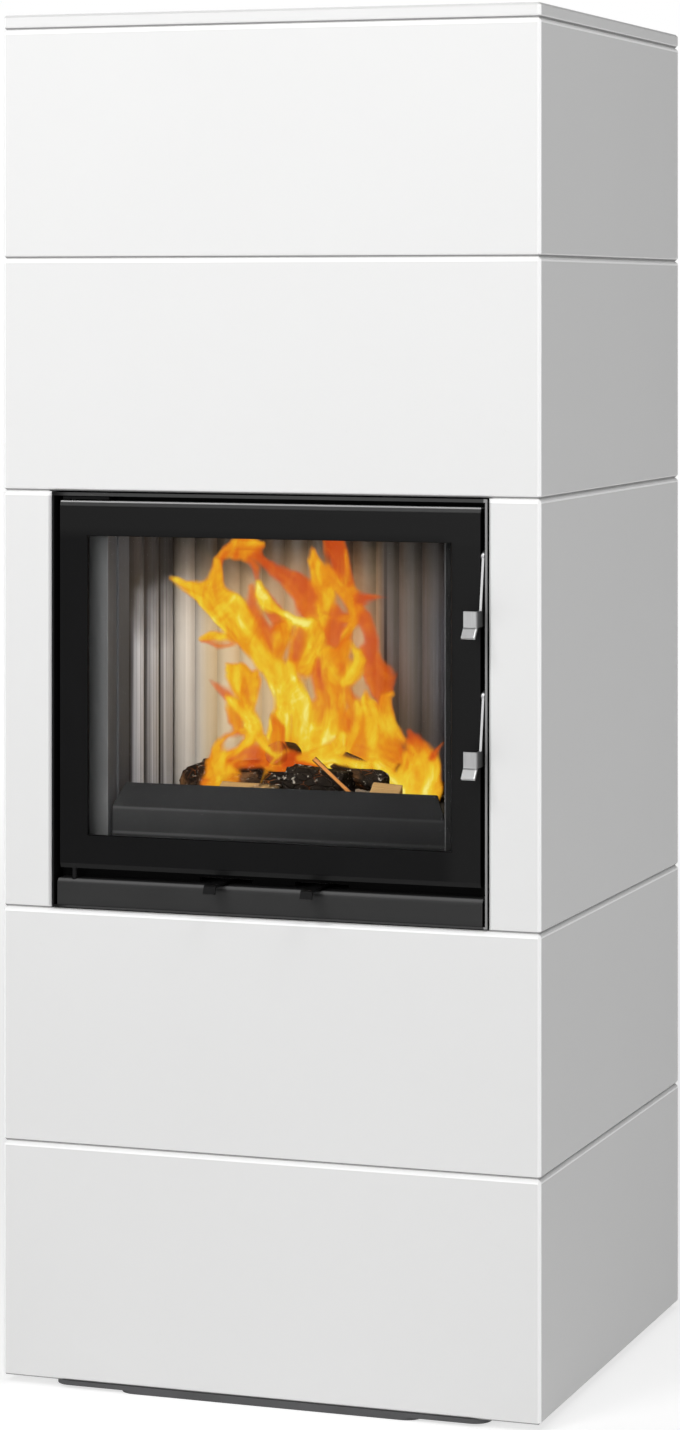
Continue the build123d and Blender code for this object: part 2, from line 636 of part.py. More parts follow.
def clipped_points(grow, front_y):
    """The whole outline with its front edge moved back to front_y."""
    front, corner, back = firebox_plan(grow)
    slope = (corner[0] - front[0]) / (corner[1] - front[1])
    return both_sides([(front[0] + slope * (front_y - front[1]), front_y), corner, back])


def both_sides(right):
    """The points of the right half, then those of the left half in the other order."""
    return right + [(-x, y) for x, y in reversed(right)]


def firebox_shell():
    """Steel body: a floor, bent walls that follow the lining, and a roof open under the hood."""
    outer = outline(*both_sides(firebox_plan(LINING_THICKNESS + SHELL_SHEET)))
    inner = outline(*both_sides(firebox_plan(LINING_THICKNESS)))
    floor = upright(outer, FIREBOX_FLOOR - SHELL_SHEET, FIREBOX_FLOOR)
    roof = upright(outer - outline(*hood_points(0)), SHELL_TOP - SHELL_SHEET, SHELL_TOP)
    return floor + upright(outer - inner, FIREBOX_FLOOR, SHELL_TOP) + roof


def reeded_panel(ribs, pitch, flat_end):
    """A panel of convex ribs along +X from the origin, flat beyond them; its back lies at +Y."""
    width = ribs * pitch
    starts = [i * pitch for i in range(ribs)]
    bays = [ThreePointArc((x, 0), (x + pitch / 2, -RIB_RISE), (x + pitch, 0)) for x in starts]
    right = width + flat_end
    back = Polyline((right, 0), (right, LINING_THICKNESS), (-flat_end, LINING_THICKNESS), (-flat_end, 0))
    ends = [Line((width, 0), (right, 0)), Line((-flat_end, 0), (0, 0))] if flat_end else []
    return extrude(make_face(Curve() + bays + ends + back), amount=LINING_TOP - FIREBOX_FLOOR)


def lining_back():
    """The back panel reaches behind the side panels' ends."""
    panel = reeded_panel(BACK_RIBS, BACK_RIB_PITCH, LINING_THICKNESS)
    return Pos(-BACK_HALF, BACK_Y, FIREBOX_FLOOR) * panel


def lining_right():
    """The panel along the side, from the back panel to the smooth plate."""
    panel = reeded_panel(SIDE_RIBS, SIDE_RIB_PITCH, 0)
    return Pos(BACK_HALF, BACK_Y, FIREBOX_FLOOR) * Rot(0, 0, -90) * panel


def lining_left():
    return mirrored(lining_right())


def side_plate_right():
    """Smooth plate from the flange to the ribbed side, with one upright bead."""
    front, corner, _ = firebox_plan(0)
    outer_front = firebox_plan(LINING_THICKNESS)[0]
    plate = outline(front, corner, (BACK_HALF + LINING_THICKNESS, RIBS_FRONT), outer_front)
    bead_x = front[0] + (corner[0] - front[0]) * SIDE_BEAD_PLACE
    bead_y = front[1] + (corner[1] - front[1]) * SIDE_BEAD_PLACE
    bead = Pos(bead_x, bead_y) * Circle(SIDE_BEAD_RADIUS)
    return upright(plate + bead, FIREBOX_FLOOR, LINING_TOP)


def side_plate_left():
    return mirrored(side_plate_right())


def hearth_slab():
    """The fire's floor fills the lining's outline behind the log guard."""
    points = clipped_points(-RIB_RISE - HEARTH_PLAY, FLANGE_BACK + HEARTH_FRONT_GAP)
    return upright(outline(*points), FIREBOX_FLOOR, WINDOW_BASE + HEARTH_RISE)


def log_guard():
    """Bent sheet: upright foot on the floor and an upper part that leans back, cut at its corners."""
    y = FLANGE_BACK + GUARD_FRONT_GAP + GUARD_SHEET / 2
    bend = WINDOW_BASE + GUARD_BEND_RISE
    top = WINDOW_BASE + GUARD_TOP_RISE
    line = [(y, FIREBOX_FLOOR), (y, bend), (y + GUARD_LEAN, top)]
    guard = across(bent_strip(line, GUARD_SHEET, GUARD_SHEET), -GUARD_HALF_WIDTH, GUARD_HALF_WIDTH)
    clear = top + GUARD_SHEET
    for side in (-1, 1):
        end = side * GUARD_HALF_WIDTH
        corner = outline((end, bend), (end, clear), (end - side * GUARD_CORNER, clear))
        guard -= facing(corner, FLANGE_BACK, FLANGE_BACK + HEARTH_FRONT_GAP)
    return guard


def baffle_plate():
    """Plate on top of the lining, open at the front for the smoke."""
    points = clipped_points(LINING_THICKNESS, FLANGE_BACK + BAFFLE_FRONT_GAP)
    return upright(outline(*points), LINING_TOP, LINING_TOP + BAFFLE_THICKNESS)


# --- Smoke path
def hood_points(grow):
    """The firebox's outline as far forward as the cast rings above it leave room."""
    return clipped_points(LINING_THICKNESS + grow, CAVITY_FRONT + HOOD_FRONT_GAP - grow)


def ledge_points(around, radius):
    """An outline with sides parallel to those around it, all touching a circle on the flue's axis."""
    normals = []
    for (x0, y0), (x1, y1) in zip(around[-1:] + around[:-1], around):
        length = math.hypot(x1 - x0, y1 - y0)
        normals.append(((y1 - y0) / length, (x0 - x1) / length))
    points = []
    for (ax, ay), (bx, by) in zip(normals, normals[1:] + normals[:1]):
        reach = radius / (1 + ax * bx + ay * by)
        points.append((reach * (ax + bx), FLUE_AXIS_Y + reach * (ay + by)))
    return points


def hood_body(grow, top):
    """The folded hood as a solid: flat sides that lean in from the firebox to a ledge."""
    plan = hood_points(grow)
    base = [(x, y, SHELL_TOP) for x, y in plan]
    ledge = [(x, y, top) for x, y in ledge_points(plan, NECK_RADIUS + NECK_RIM + grow)]
    sides = zip(base, base[1:] + base[:1], ledge[1:] + ledge[:1], ledge)
    return Solid(Shell([outline(*points).face() for points in (base, ledge, *sides)]))


def smoke_hood():
    """Folded steel hood from the firebox's outline to a ledge, with the round neck on it."""
    neck = rod_z(0, FLUE_AXIS_Y, NECK_BASE, STORAGE_BASE, NECK_RADIUS)
    bore = rod_z(0, FLUE_AXIS_Y, NECK_BASE - SHELL_SHEET, STORAGE_BASE, NECK_RADIUS - NECK_SHEET)
    return hood_body(SHELL_SHEET, NECK_BASE) + neck - hood_body(0, NECK_BASE - SHELL_SHEET) - bore


def storage_ring(z0):
    """A square heat-storing block with the smoke's way through it."""
    plan = Pos(0, FLUE_AXIS_Y) * RectangleRounded(STORAGE_SIDE, STORAGE_SIDE, STORAGE_EDGE)
    plan -= Pos(0, FLUE_AXIS_Y) * Circle(STORAGE_BORE)
    return upright(plan, z0, z0 + STORAGE_HEIGHT)


def quarter_bend(axis_y, z_start, z_run, bend, y_end):
    """The middle line of a welded bend: upright from z_start, some mitres, then level to the rear."""
    way = math.copysign(1, z_run - z_start)
    step = math.pi / 2 / BEND_GORES
    reach = bend / math.cos(step / 2)
    turns = [(i + 0.5) * step for i in range(BEND_GORES)]
    mitres = [
        (0, axis_y + bend - reach * math.cos(turn), z_run - way * (bend - reach * math.sin(turn)))
        for turn in turns
    ]
    return Polyline((0, axis_y, z_start), *mitres, (0, y_end, z_run))


def pipe(path, radius, sheet):
    """A round pipe of this inner radius along a mitred line."""
    def rod(r):
        section = Plane(origin=path @ 0, z_dir=path % 0) * Circle(r)
        return sweep(section, path=path, transition=Transition.RIGHT)
    return rod(radius + sheet) - rod(radius)


def flue_elbow():
    """Round bend from the storage blocks to the rear wall."""
    path = quarter_bend(FLUE_AXIS_Y, FLUE_BASE, FLUE_AXIS_Z, FLUE_BEND, REAR - FLUE_SOCKET_LENGTH)
    return pipe(path, FLUE_RADIUS, FLUE_SHEET)


def collar(z, socket, length, sheet, pipe_radius, rosette):
    """A socket through the rear wall, with a throat for the pipe's end and a flange inside the wall."""
    inner = REAR - CASING_WALL
    body = rod_y(0, inner, REAR, z, socket + sheet)
    reach = socket + sheet + rosette
    body += block(-reach, reach, inner - sheet, inner, z - reach, z + reach)
    body -= rod_y(0, REAR - length, REAR, z, socket)
    return body - rod_y(0, inner - sheet, REAR - length, z, pipe_radius + PIPE_PLAY)


def flue_collar():
    pipe_radius = FLUE_RADIUS + FLUE_SHEET
    return collar(FLUE_AXIS_Z, FLUE_SOCKET_RADIUS, FLUE_SOCKET_LENGTH, FLUE_SHEET, pipe_radius, FLUE_ROSETTE)


# --- Fresh air
def air_duct():
    """Round duct from the air box down to the rear wall of the bottom ring."""
    path = quarter_bend(AIR_AXIS_Y, AIR_BOX_BASE, AIR_AXIS_Z, AIR_BEND, REAR - AIR_SOCKET_LENGTH)
    return pipe(path, AIR_RADIUS, AIR_SHEET)


def air_collar():
    pipe_radius = AIR_RADIUS + AIR_SHEET
    return collar(AIR_AXIS_Z, AIR_SOCKET_RADIUS, AIR_SOCKET_LENGTH, AIR_SHEET, pipe_radius, AIR_ROSETTE)


def air_box():
    """Flat welded box on the flange: duct hole below, lever slots in front, a shelf over the slides."""
    half = AIR_BOX_HALF_WIDTH - AIR_BOX_SHEET
    front = FLANGE_BACK + AIR_BOX_SHEET
    floor = AIR_BOX_BASE + AIR_BOX_SHEET
    outside = AIR_BOX_HALF_WIDTH
    body = block(-outside, outside, FLANGE_BACK, AIR_BOX_REAR, AIR_BOX_BASE, AIR_BOX_TOP)
    body -= block(-half, half, front, AIR_BOX_REAR - AIR_BOX_SHEET, floor, AIR_BOX_TOP - AIR_BOX_SHEET)
    body -= rod_z(0, AIR_AXIS_Y, AIR_BOX_BASE, floor, AIR_RADIUS)
    shelf = SLIDE_BASE + LEVER_SHEET + SLIDE_CLEARANCE
    body += block(-half, half, front, front + SLIDE_DEPTH + SLIDE_REST, shelf, shelf + AIR_BOX_SHEET)
    for middle in LEVER_PLACES:
        body -= lever_slot(middle, FLANGE_BACK, front)
        body -= port(middle, shelf, shelf + AIR_BOX_SHEET)
    return body


def port(middle, z0, z1):
    """The air's way through a slide and through the shelf over it."""
    slide_end = FLANGE_BACK + AIR_BOX_SHEET + SLIDE_CLEARANCE + SLIDE_DEPTH
    hole = RectangleRounded(SLIDE_PORT_LENGTH, SLIDE_PORT_DEPTH, SLIDE_EDGE / 2)
    return upright(Pos(middle, slide_end - SLIDE_EDGE - SLIDE_PORT_DEPTH / 2) * hole, z0, z1)


def air_lever(middle):
    """Flat bar under its slide, with a bent tip in front of the sill."""
    z = LEVER_BASE + LEVER_SHEET / 2
    tip = FRONT - LEVER_REACH
    rear = FLANGE_BACK + AIR_BOX_SHEET + SLIDE_DEPTH - SLIDE_PORT_DEPTH - 2 * SLIDE_EDGE
    line = [(tip - LEVER_TIP_REACH, z - LEVER_TIP_DROP), (tip, z), (rear, z)]
    bar = bent_strip(line, LEVER_SHEET, LEVER_SHEET)
    return across(bar, middle - LEVER_WIDTH / 2, middle + LEVER_WIDTH / 2)


def air_slide(middle):
    """Damper plate on the lever's inner end; its port lies under the shelf's."""
    y0 = FLANGE_BACK + AIR_BOX_SHEET + SLIDE_CLEARANCE
    half = SLIDE_LENGTH / 2
    top = SLIDE_BASE + LEVER_SHEET
    plate = block(middle - half, middle + half, y0, y0 + SLIDE_DEPTH, SLIDE_BASE, top)
    return plate - port(middle, SLIDE_BASE, top)


# --- Stand
def stand_places():
    ys = [CAVITY_FRONT + STAND_FRONT_GAP + STAND_TUBE / 2, AIR_BOX_REAR - STAND_TUBE / 2]
    return [(x, y) for x in (-STAND_HALF_WIDTH, STAND_HALF_WIDTH) for y in ys]


def stand_frame():
    """Welded square tube: four legs and a frame under the air box."""
    half = STAND_TUBE / 2
    top = AIR_BOX_BASE
    base = Z_BOTTOM + STAND_FOOT_HEIGHT
    stand = Part()
    for x, y in stand_places():
        stand += block(x - half, x + half, y - half, y + half, base, top)
    (_, y0), (_, y1) = stand_places()[:2]
    for x in (-STAND_HALF_WIDTH, STAND_HALF_WIDTH):
        stand += block(x - half, x + half, y0, y1, top - STAND_TUBE, top)
    for y in (y0, y1):
        stand += block(-STAND_HALF_WIDTH, STAND_HALF_WIDTH, y - half, y + half, top - STAND_TUBE, top)
    return stand


def stand_feet():
    feet = []
    for x, y in stand_places():
        half = STAND_FOOT_SIDE / 2
        plate = block(x - half, x + half, y - half, y + half, Z_BOTTOM, Z_BOTTOM + STAND_FOOT_PLATE)
        feet.append(plate + rod_z(x, y, Z_BOTTOM, Z_BOTTOM + STAND_FOOT_HEIGHT, STAND_FOOT_SCREW))
    return feet


PIECES = {
    "floor_plate": lambda: base_plate(FLOOR_PLATE_INSET, 0, FLOOR_PLATE_THICKNESS),
    "carrier_plate": lambda: base_plate(CARRIER_INSET, FLOOR_PLATE_THICKNESS, CARRIER_THICKNESS),
    "bottom_ring": bottom_ring,
    "lower_ring": lambda: casing_ring(Z_LOWER, LOWER_RING),
    "door_ring": door_ring,
    "upper_ring": lambda: casing_ring(Z_UPPER, UPPER_RING),
    "top_ring": top_ring,
    "top_plate": lambda: casing_block(Z_LID, Z_LID + TOP_PLATE),
    "bedding_joints": bedding_joints,
    "insert_frame": insert_frame,
    "front_flange": front_flange,
    "sill_panel": sill_panel,
    "hinge_plate_upper": hinge_plate_upper,
    "hinge_plate_lower": hinge_plate_lower,
    "hinge_pins": hinge_pins,
    "catch_pins": catch_pins,
    "door_frame": door_frame,
    "door_seal": door_seal,
    "door_glass": door_glass,
    "glass_gasket": glass_gasket,
    "glass_clips": glass_clips,
    "glass_screws": glass_screws,
    "latch_lever_upper": lambda: latch_lever(LATCH_HEIGHTS[0]),
    "latch_lever_lower": lambda: latch_lever(LATCH_HEIGHTS[1]),
    "latch_pivots": latch_pivots,
    "firebox_shell": firebox_shell,
    "lining_back": lining_back,
    "lining_left": lining_left,
    "lining_right": lining_right,
    "side_plate_left": side_plate_left,
    "side_plate_right": side_plate_right,
    "hearth_slab": hearth_slab,
    "log_guard": log_guard,
    "baffle_plate": baffle_plate,
    "smoke_hood": smoke_hood,
    "storage_ring_lower": lambda: storage_ring(STORAGE_BASE),
    "storage_ring_upper": lambda: storage_ring(STORAGE_BASE + STORAGE_HEIGHT),
    "flue_elbow": flue_elbow,
    "flue_collar": flue_collar,
    "air_duct": air_duct,
    "air_collar": air_collar,
    "air_box": air_box,
    "air_lever_left": lambda: air_lever(LEVER_PLACES[0]),
    "air_lever_right": lambda: air_lever(LEVER_PLACES[1]),
    "air_slide_left": lambda: air_slide(LEVER_PLACES[0]),
    "air_slide_right": lambda: air_slide(LEVER_PLACES[1]),
    "stand_frame": stand_frame,
    "stand_feet": stand_feet,
}


def main():
    os.makedirs("parts", exist_ok=True)
    for name, make in PIECES.items():
        made = make()
        solids = made if isinstance(made, list) else [made]
        export_step(Compound([solid for piece in solids for solid in piece.solids()]), f"parts/{name}.step")


main()
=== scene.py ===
"""The finish of a tall heat-storing stove: white cast rings, a black steel fire insert and a wood fire.

Metres, in the stove's own frame: the front faces -Y, +X is to the right seen from the front, +Z is up.
"""

import json
import math
import random

import bpy
import numpy as np
from mathutils import Matrix, Vector, noise


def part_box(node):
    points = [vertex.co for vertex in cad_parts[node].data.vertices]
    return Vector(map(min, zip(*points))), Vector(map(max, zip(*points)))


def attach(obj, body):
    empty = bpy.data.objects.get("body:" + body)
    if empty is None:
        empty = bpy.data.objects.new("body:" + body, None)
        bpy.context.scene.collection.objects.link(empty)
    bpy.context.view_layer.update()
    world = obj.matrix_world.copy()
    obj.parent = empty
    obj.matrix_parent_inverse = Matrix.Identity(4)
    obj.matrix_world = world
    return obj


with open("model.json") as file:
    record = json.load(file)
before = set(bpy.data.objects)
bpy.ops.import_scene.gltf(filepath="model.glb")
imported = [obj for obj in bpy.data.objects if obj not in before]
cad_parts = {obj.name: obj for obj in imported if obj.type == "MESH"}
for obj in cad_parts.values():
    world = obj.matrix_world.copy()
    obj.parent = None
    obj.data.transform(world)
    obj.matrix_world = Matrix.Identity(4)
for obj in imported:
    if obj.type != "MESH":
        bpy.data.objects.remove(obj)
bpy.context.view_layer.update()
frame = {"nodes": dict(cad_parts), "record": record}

noise.seed_set(4)  # for the waves along the flames' edges

# --- View
CAMERA_PLACE = (1.697, -4.834, 1.309)
CAMERA_TURN = 19.52  # degrees to the left of straight on
CAMERA_LENS = 102.6
CAMERA_SHIFT = -0.2885  # most of the stove lies below eye level

# --- Light
SKY_SEEN = 1.0
SKY_LIGHT = 0.15
SKY_GLOSS = 0.10
LAMP_AIM = (0.0, -0.3, 0.9)
KEY_PLACE = (-0.4, -5.0, 2.3)
KEY_SIZE = 3.2
KEY_POWER = 82.0
TOP_PLACE = (-1.0, -3.1, 3.7)  # mirrored by the bevels of the door and the sill
TOP_SIZE = 1.2
TOP_POWER = 50.0
OVERHEAD_PLACE = (1.7, -1.7, 4.4)  # steep, to reach the bevels between the rings
OVERHEAD_AIM = (0.2, -0.2, 0.9)
OVERHEAD_SIZE = 1.6
OVERHEAD_POWER = 36.0
CHAMBER_PLACE = (-0.06, -0.225, 1.030)  # under the chamber's roof, for its left side
CHAMBER_AIM = (-0.14, -0.10, 0.80)
CHAMBER_SIZE = 0.12
CHAMBER_POWER = 0.38
CHAMBER_COLOUR = (1.0, 0.99, 0.98)
FLOOR_SIZE = 60.0
FLOOR_GLOW_NEAR = 0.65  # keeps the paper white where the lamps are weak
FLOOR_GLOW_FAR = 0.92
FLOOR_GLOW_REACH = (1.5, 7.0)  # distances from the stove over which it grows

# --- Casing
FRONT_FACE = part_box("door_ring")[0].y
CASING_BEVEL = 0.003
BEVEL_HIGHLIGHT = 0.0022  # the painted highlight of a casting reaches this far below its upper bevel
BEVEL_SHADE = 0.0016  # height of the painted shade along the foot of a casting
EDGE_BLUR = 0.0002  # half the width over which such a rim fades

# --- Door, sill and latches
DOOR_SLOPE = 0.0065  # height of the bevel along the top and the bottom of the door
SLOPE_BLUR = 0.0015
DOOR_HIGHLIGHT = 0.0022  # height of the painted highlight along the upper edge of that bevel
CREST_BLUR = 0.0010
DOOR_RAIL_LIGHT = (0.048, 0.030)  # depths under the door's top between which the painted light on its upper rail fades in
DOOR_POST_LIGHT = (0.215, 0.240)  # X between which that on its right post does
SILL_HIGHLIGHT = (0.0045, 0.0015)  # depths below the sill's top where its painted highlight begins
SILL_FLAT = (0.0008, 0.0001)  # and where it ends
TAB_HIGHLIGHT = (0.0105, 0.0125)  # the painted highlight on the lip of a latch tab ends between these heights over its foot
TAB_SHADE = (0.0004, 0.0001)  # depths under a lever's outer side between which painted shade darkens it

# --- Sleeve, flange and log guard
SLEEVE_HIGHLIGHT = (0.0015, 0.0025)  # the painted highlight on its front edge ends between these depths
SLEEVE_RIGHT = (0.2700, 0.2715)  # X from which that highlight is brightest
SLEEVE_LEFT = (-0.27, -0.25)  # X up to which it stays black
FLANGE_EDGE = 0.214  # half the width of the opening in the front flange
FLANGE_RIM = (0.0010, 0.0016)  # the painted highlight along the rim of that opening ends this far outside it
FLANGE_WINDOW = (0.664, 1.040)  # lower and upper end of what shows through the door glass
FLANGE_BARE = (0.260, 0.264)  # the paint is burnt off up to this far from the middle
FLANGE_LIT = (-0.05, 0.05)  # X between which the burnt steel turns from lit to shaded
GUARD_HIGHLIGHT = 0.697  # height of the painted highlight along the guard's fold, above which painted shade darkens its slope
GUARD_FOOT = 0.668  # and of the painted highlight at its foot
GUARD_SHADE = (-0.16, 0.17)  # X between which the guard falls into shade

# --- Lining and hearth
HEARTH_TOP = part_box("hearth_slab")[1].z
BACK_RIBS = 14
SIDE_RIBS = 3
RIB_RISE = 0.006
BACK_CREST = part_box("lining_back")[0].y
BACK_HALF = 0.210  # half the width of the ribbed back
RIBS_FRONT = -0.2257  # Y where the ribs of the side panels start
BACK_SMOKE = (0.940, 1.025)  # heights between which soot covers the lining
SIDE_SMOKE = (0.930, 0.980)
PANEL_TAN = (-0.180, -0.158)  # X between which the back turns from grey to tan
PANEL_SEAM = 0.0745  # X of the upright joint in the back
SEAM_WIDTH = (0.0012, 0.0030)
SEAM_SHADE = 0.020  # the shade at the right of the seam begins this far before it
DEEP_SHADE = (0.10, 0.16)  # X between which that shade deepens
LOW_SHADE = (0.76, 0.88)  # heights between which it lightens upwards
HEARTH_CLAY_Y = (-0.235, -0.195)  # Y between which the hearth turns from near black to clay
HEARTH_DARK_X = (0.145, 0.170)  # X between which it turns near black again


# --- Shader maths
class Value:
    """One output of a node. Python's arithmetic on it adds Math nodes."""

    def __init__(self, finish, output):
        self.finish = finish
        self.output = output

    def maths(self, operation, *sockets):
        return self.finish.node("ShaderNodeMath", {"operation": operation}, dict(enumerate(sockets)))

    def __add__(self, other):
        return self.maths("ADD", self, other)

    def __sub__(self, other):
        return self.maths("SUBTRACT", self, other)

    def __mul__(self, other):
        return self.maths("MULTIPLY", self, other)

    def __truediv__(self, other):
        return self.maths("DIVIDE", self, other)

    def __rsub__(self, other):
        return self.maths("SUBTRACT", other, self)

    __radd__ = __add__
    __rmul__ = __mul__

    def at_most(self, other):
        return self.maths("MINIMUM", self, other)

    def clipped(self):
        return self.maths("MAXIMUM", self.at_most(1.0), 0.0)

    def magnitude(self):
        return self.maths("ABSOLUTE", self)

    def sine(self):
        return self.maths("SINE", self)

    def step(self, low, high):
        """0 below low, 1 above high and smooth between."""
        return self.finish.node(
            "ShaderNodeMapRange", {"interpolation_type": "SMOOTHSTEP"}, {0: self, 1: low, 2: high}
        )

    def band(self, rise, fall):
        """1 between the two pairs, which say where it starts and ends to rise and to fall."""
        return self.step(*rise) * (1.0 - self.step(*fall))


class Finish:
    """A material in the making, on the stove's own coordinates."""

    def __init__(self, name, **constants):
        self.material = bpy.data.materials.new(name)
        self.material.use_nodes = True
        self.tree = self.material.node_tree
        self.shader = self.tree.nodes["Principled BSDF"]
        self.place = self.node("ShaderNodeTexCoord", output="Object")
        for socket, value in constants.items():
            self.shader.inputs[socket.replace("_", " ")].default_value = value

    def node(self, kind, settings=None, sockets=None, output=0):
        made = self.tree.nodes.new(kind)
        for name, value in (settings or {}).items():
            if name == "stops":
                self.set_stops(made.color_ramp, value)
            else:
                setattr(made, name, value)
        for name, value in (sockets or {}).items():
            self.feed(made.inputs[name], value)
        return Value(self, made.outputs[output])

    def set_stops(self, ramp, stops):
        ramp.elements.remove(ramp.elements[1])
        ramp.elements[0].color = (*stops[0][1], 1.0)
        for place, colour in stops[1:]:
            ramp.elements.new(place).color = (*colour, 1.0)

    def feed(self, entry, value):
        if isinstance(value, Value):
            self.tree.links.new(value.output, entry)
        else:
            entry.default_value = value

    def give(self, **sockets):
        """Feeds the shader's own sockets, an underscore standing for a space, and returns the material."""
        for name, value in sockets.items():
            self.feed(self.shader.inputs[name.replace("_", " ")], value)
        return self.material

    def stretched(self, scale, place=None):
        """The coordinates with each axis multiplied, so that a pattern runs long where scale is small."""
        return self.node("ShaderNodeMapping", None, {"Vector": place or self.place, "Scale": scale})

    def noise(self, scale, detail=3.0, place=None, roughness=0.5, distortion=0.0):
        sockets = {"Scale": scale, "Detail": detail, "Roughness": roughness, "Distortion": distortion}
        sockets["Vector"] = place or self.place
        return self.node("ShaderNodeTexNoise", None, sockets)

    def dust(self):
        """Soft patches a few centimetres wide."""
        return self.noise(14.0, 4.0)

    def cells(self, scale, feature="F1", place=None):
        sockets = {"Scale": scale, "Vector": place or self.place}
        return self.node("ShaderNodeTexVoronoi", {"feature": feature}, sockets)

    def axis(self, letter, place=None):
        return self.node("ShaderNodeSeparateXYZ", None, {0: place or self.place}, output=letter)

    def mix(self, first, second, factor):
        """From one colour to the other."""
        first, second = ((*c, 1.0) if isinstance(c, tuple) and len(c) == 3 else c for c in (first, second))
        return self.node("ShaderNodeMix", {"data_type": "RGBA"}, {0: factor, 6: first, 7: second}, output=2)

    def ramp(self, value, *stops):
        return self.node("ShaderNodeValToRGB", {"stops": stops}, {0: value})

    def attribute(self, name, output="Fac"):
        return self.node("ShaderNodeAttribute", {"attribute_name": name}, output=output)

    def bump(self, height, distance):
        return self.node("ShaderNodeBump", None, {"Height": height, "Distance": distance})


def grey(level):
    return (level, level, level)


# --- Finishes
def white_casting(node):
    """Filled, sanded and painted casting: fine grain, faint trowel waves and a few closed pores. Its bevels
    carry a painted highlight at the corners and, but for the slab's, along the top, and painted shade along
    the foot."""
    made = Finish("white_" + node, Specular_IOR_Level=0.35)
    cloud = made.noise(1.7, 3.0)
    grain = made.noise(420.0, 2.0)
    wave = made.noise(7.0, 2.0, distortion=0.4)
    pore = 1.0 - made.cells(160.0).step(0.05, 0.12)
    pits = pore * made.noise(23.0, 1.0).step(0.66, 0.74)
    tone = made.mix((0.70, 0.70, 0.697), (0.74, 0.74, 0.738), cloud)
    tone = made.mix(tone, (0.62, 0.62, 0.615), pits * 0.5)
    low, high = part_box(node)
    x, y, z = (made.axis(letter) for letter in "XYZ")
    chamfer = high.x - low.y - CASING_BEVEL
    # heights of the painted highlight along the top and of the painted shade along the foot
    highlight_line = high.z - CASING_BEVEL - BEVEL_HIGHLIGHT
    shade_top = low.z + BEVEL_SHADE
    upper = z.step(highlight_line - EDGE_BLUR, highlight_line + EDGE_BLUR) * (0.0 if node == "top_plate" else 1.0)
    lower = 1.0 - z.step(shade_top - EDGE_BLUR, shade_top + EDGE_BLUR)
    corner = (x.magnitude() - y).step(chamfer - 3 * EDGE_BLUR, chamfer - EDGE_BLUR)
    # painted highlight on the upper and corner bevels, then painted shade on the foot bevel
    tone = made.mix(tone, grey(0.97), (upper + corner).clipped())
    tone = made.mix(tone, grey(0.24), lower)
    height = wave * 0.0009 + grain * 0.00003 - pits * 0.0002
    rough = 0.5 + cloud * 0.1 + grain * 0.06
    return made.give(Base_Color=tone, Roughness=rough, Normal=made.bump(height, 1.0))


def bedding_mortar():
    """Pale adhesive with fine sand in it."""
    made = Finish("bedding_mortar")
    sand = made.noise(900.0, 3.0)
    tone = made.mix((0.5, 0.5, 0.49), (0.66, 0.66, 0.65), sand)
    return made.give(Base_Color=tone, Roughness=0.9 - sand * 0.1, Normal=made.bump(sand, 0.0003))


def heat_paint(name, level, rough):
    """Sprayed heat-proof paint: fine orange peel, with a dry dust here and there."""
    made = Finish(name, Specular_IOR_Level=0.06)
    peel = made.noise(900.0, 2.0)
    dust = made.dust()
    tone = made.mix(grey(level * 0.8), (level * 1.35, level * 1.35, level * 1.42), dust)
    return made.give(
        Base_Color=tone,
        Roughness=rough - 0.06 + dust * 0.08 + peel * 0.06,
        Normal=made.bump(peel, 0.00005),
    )


def door_paint():
    """Heat-proof paint with painted light: a painted sheen on the bevels at the door's top and foot, a
    painted highlight along the top edge, and lighter above and at the right.
    """
    made = Finish("door_paint", Specular_IOR_Level=0.08)
    low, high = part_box("door_frame")
    peel = made.noise(700.0, 2.0)
    dust = made.dust()
    height = made.axis("Z")
    slope = height.step(high.z - DOOR_SLOPE, high.z - DOOR_SLOPE + SLOPE_BLUR)
    crest = height.step(high.z - DOOR_HIGHLIGHT, high.z - DOOR_HIGHLIGHT + CREST_BLUR)
    foot = 1.0 - height.step(low.z + DOOR_SLOPE - SLOPE_BLUR, low.z + DOOR_SLOPE)
    rail = height.step(*(high.z - depth for depth in DOOR_RAIL_LIGHT))
    post = made.axis("X").step(*DOOR_POST_LIGHT)
    tone = made.mix(grey(0.0026), (0.0042, 0.0042, 0.0046), dust)
    # painted light: the upper rail and the right post lighter
    tone = made.mix(tone, grey(0.0095), (rail + post * 0.8).clipped() * 0.8)
    # painted sheen on the top bevel, a painted highlight along its edge and painted light on the foot bevel
    tone = made.mix(tone, grey(0.040), slope)
    tone = made.mix(tone, grey(0.42), crest)
    tone = made.mix(tone, grey(0.011), foot)
    return made.give(Base_Color=tone, Roughness=0.34 + dust * 0.08, Normal=made.bump(peel, 0.00005))


def sill_paint():
    """Black paint, dusty on the flat, with a painted highlight along the rounded upper edge."""
    made = Finish("sill_paint", Specular_IOR_Level=0.15)
    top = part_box("sill_panel")[1].z
    dust = made.dust()
    height = made.axis("Z")
    highlight_line = height.band([top - depth for depth in SILL_HIGHLIGHT], [top - depth for depth in SILL_FLAT])
    # painted highlight along the rounded upper edge
    tone = made.mix(made.mix(grey(0.020), grey(0.030), dust), grey(0.12), highlight_line)
    return made.give(Base_Color=tone, Roughness=0.36 + dust * 0.08)


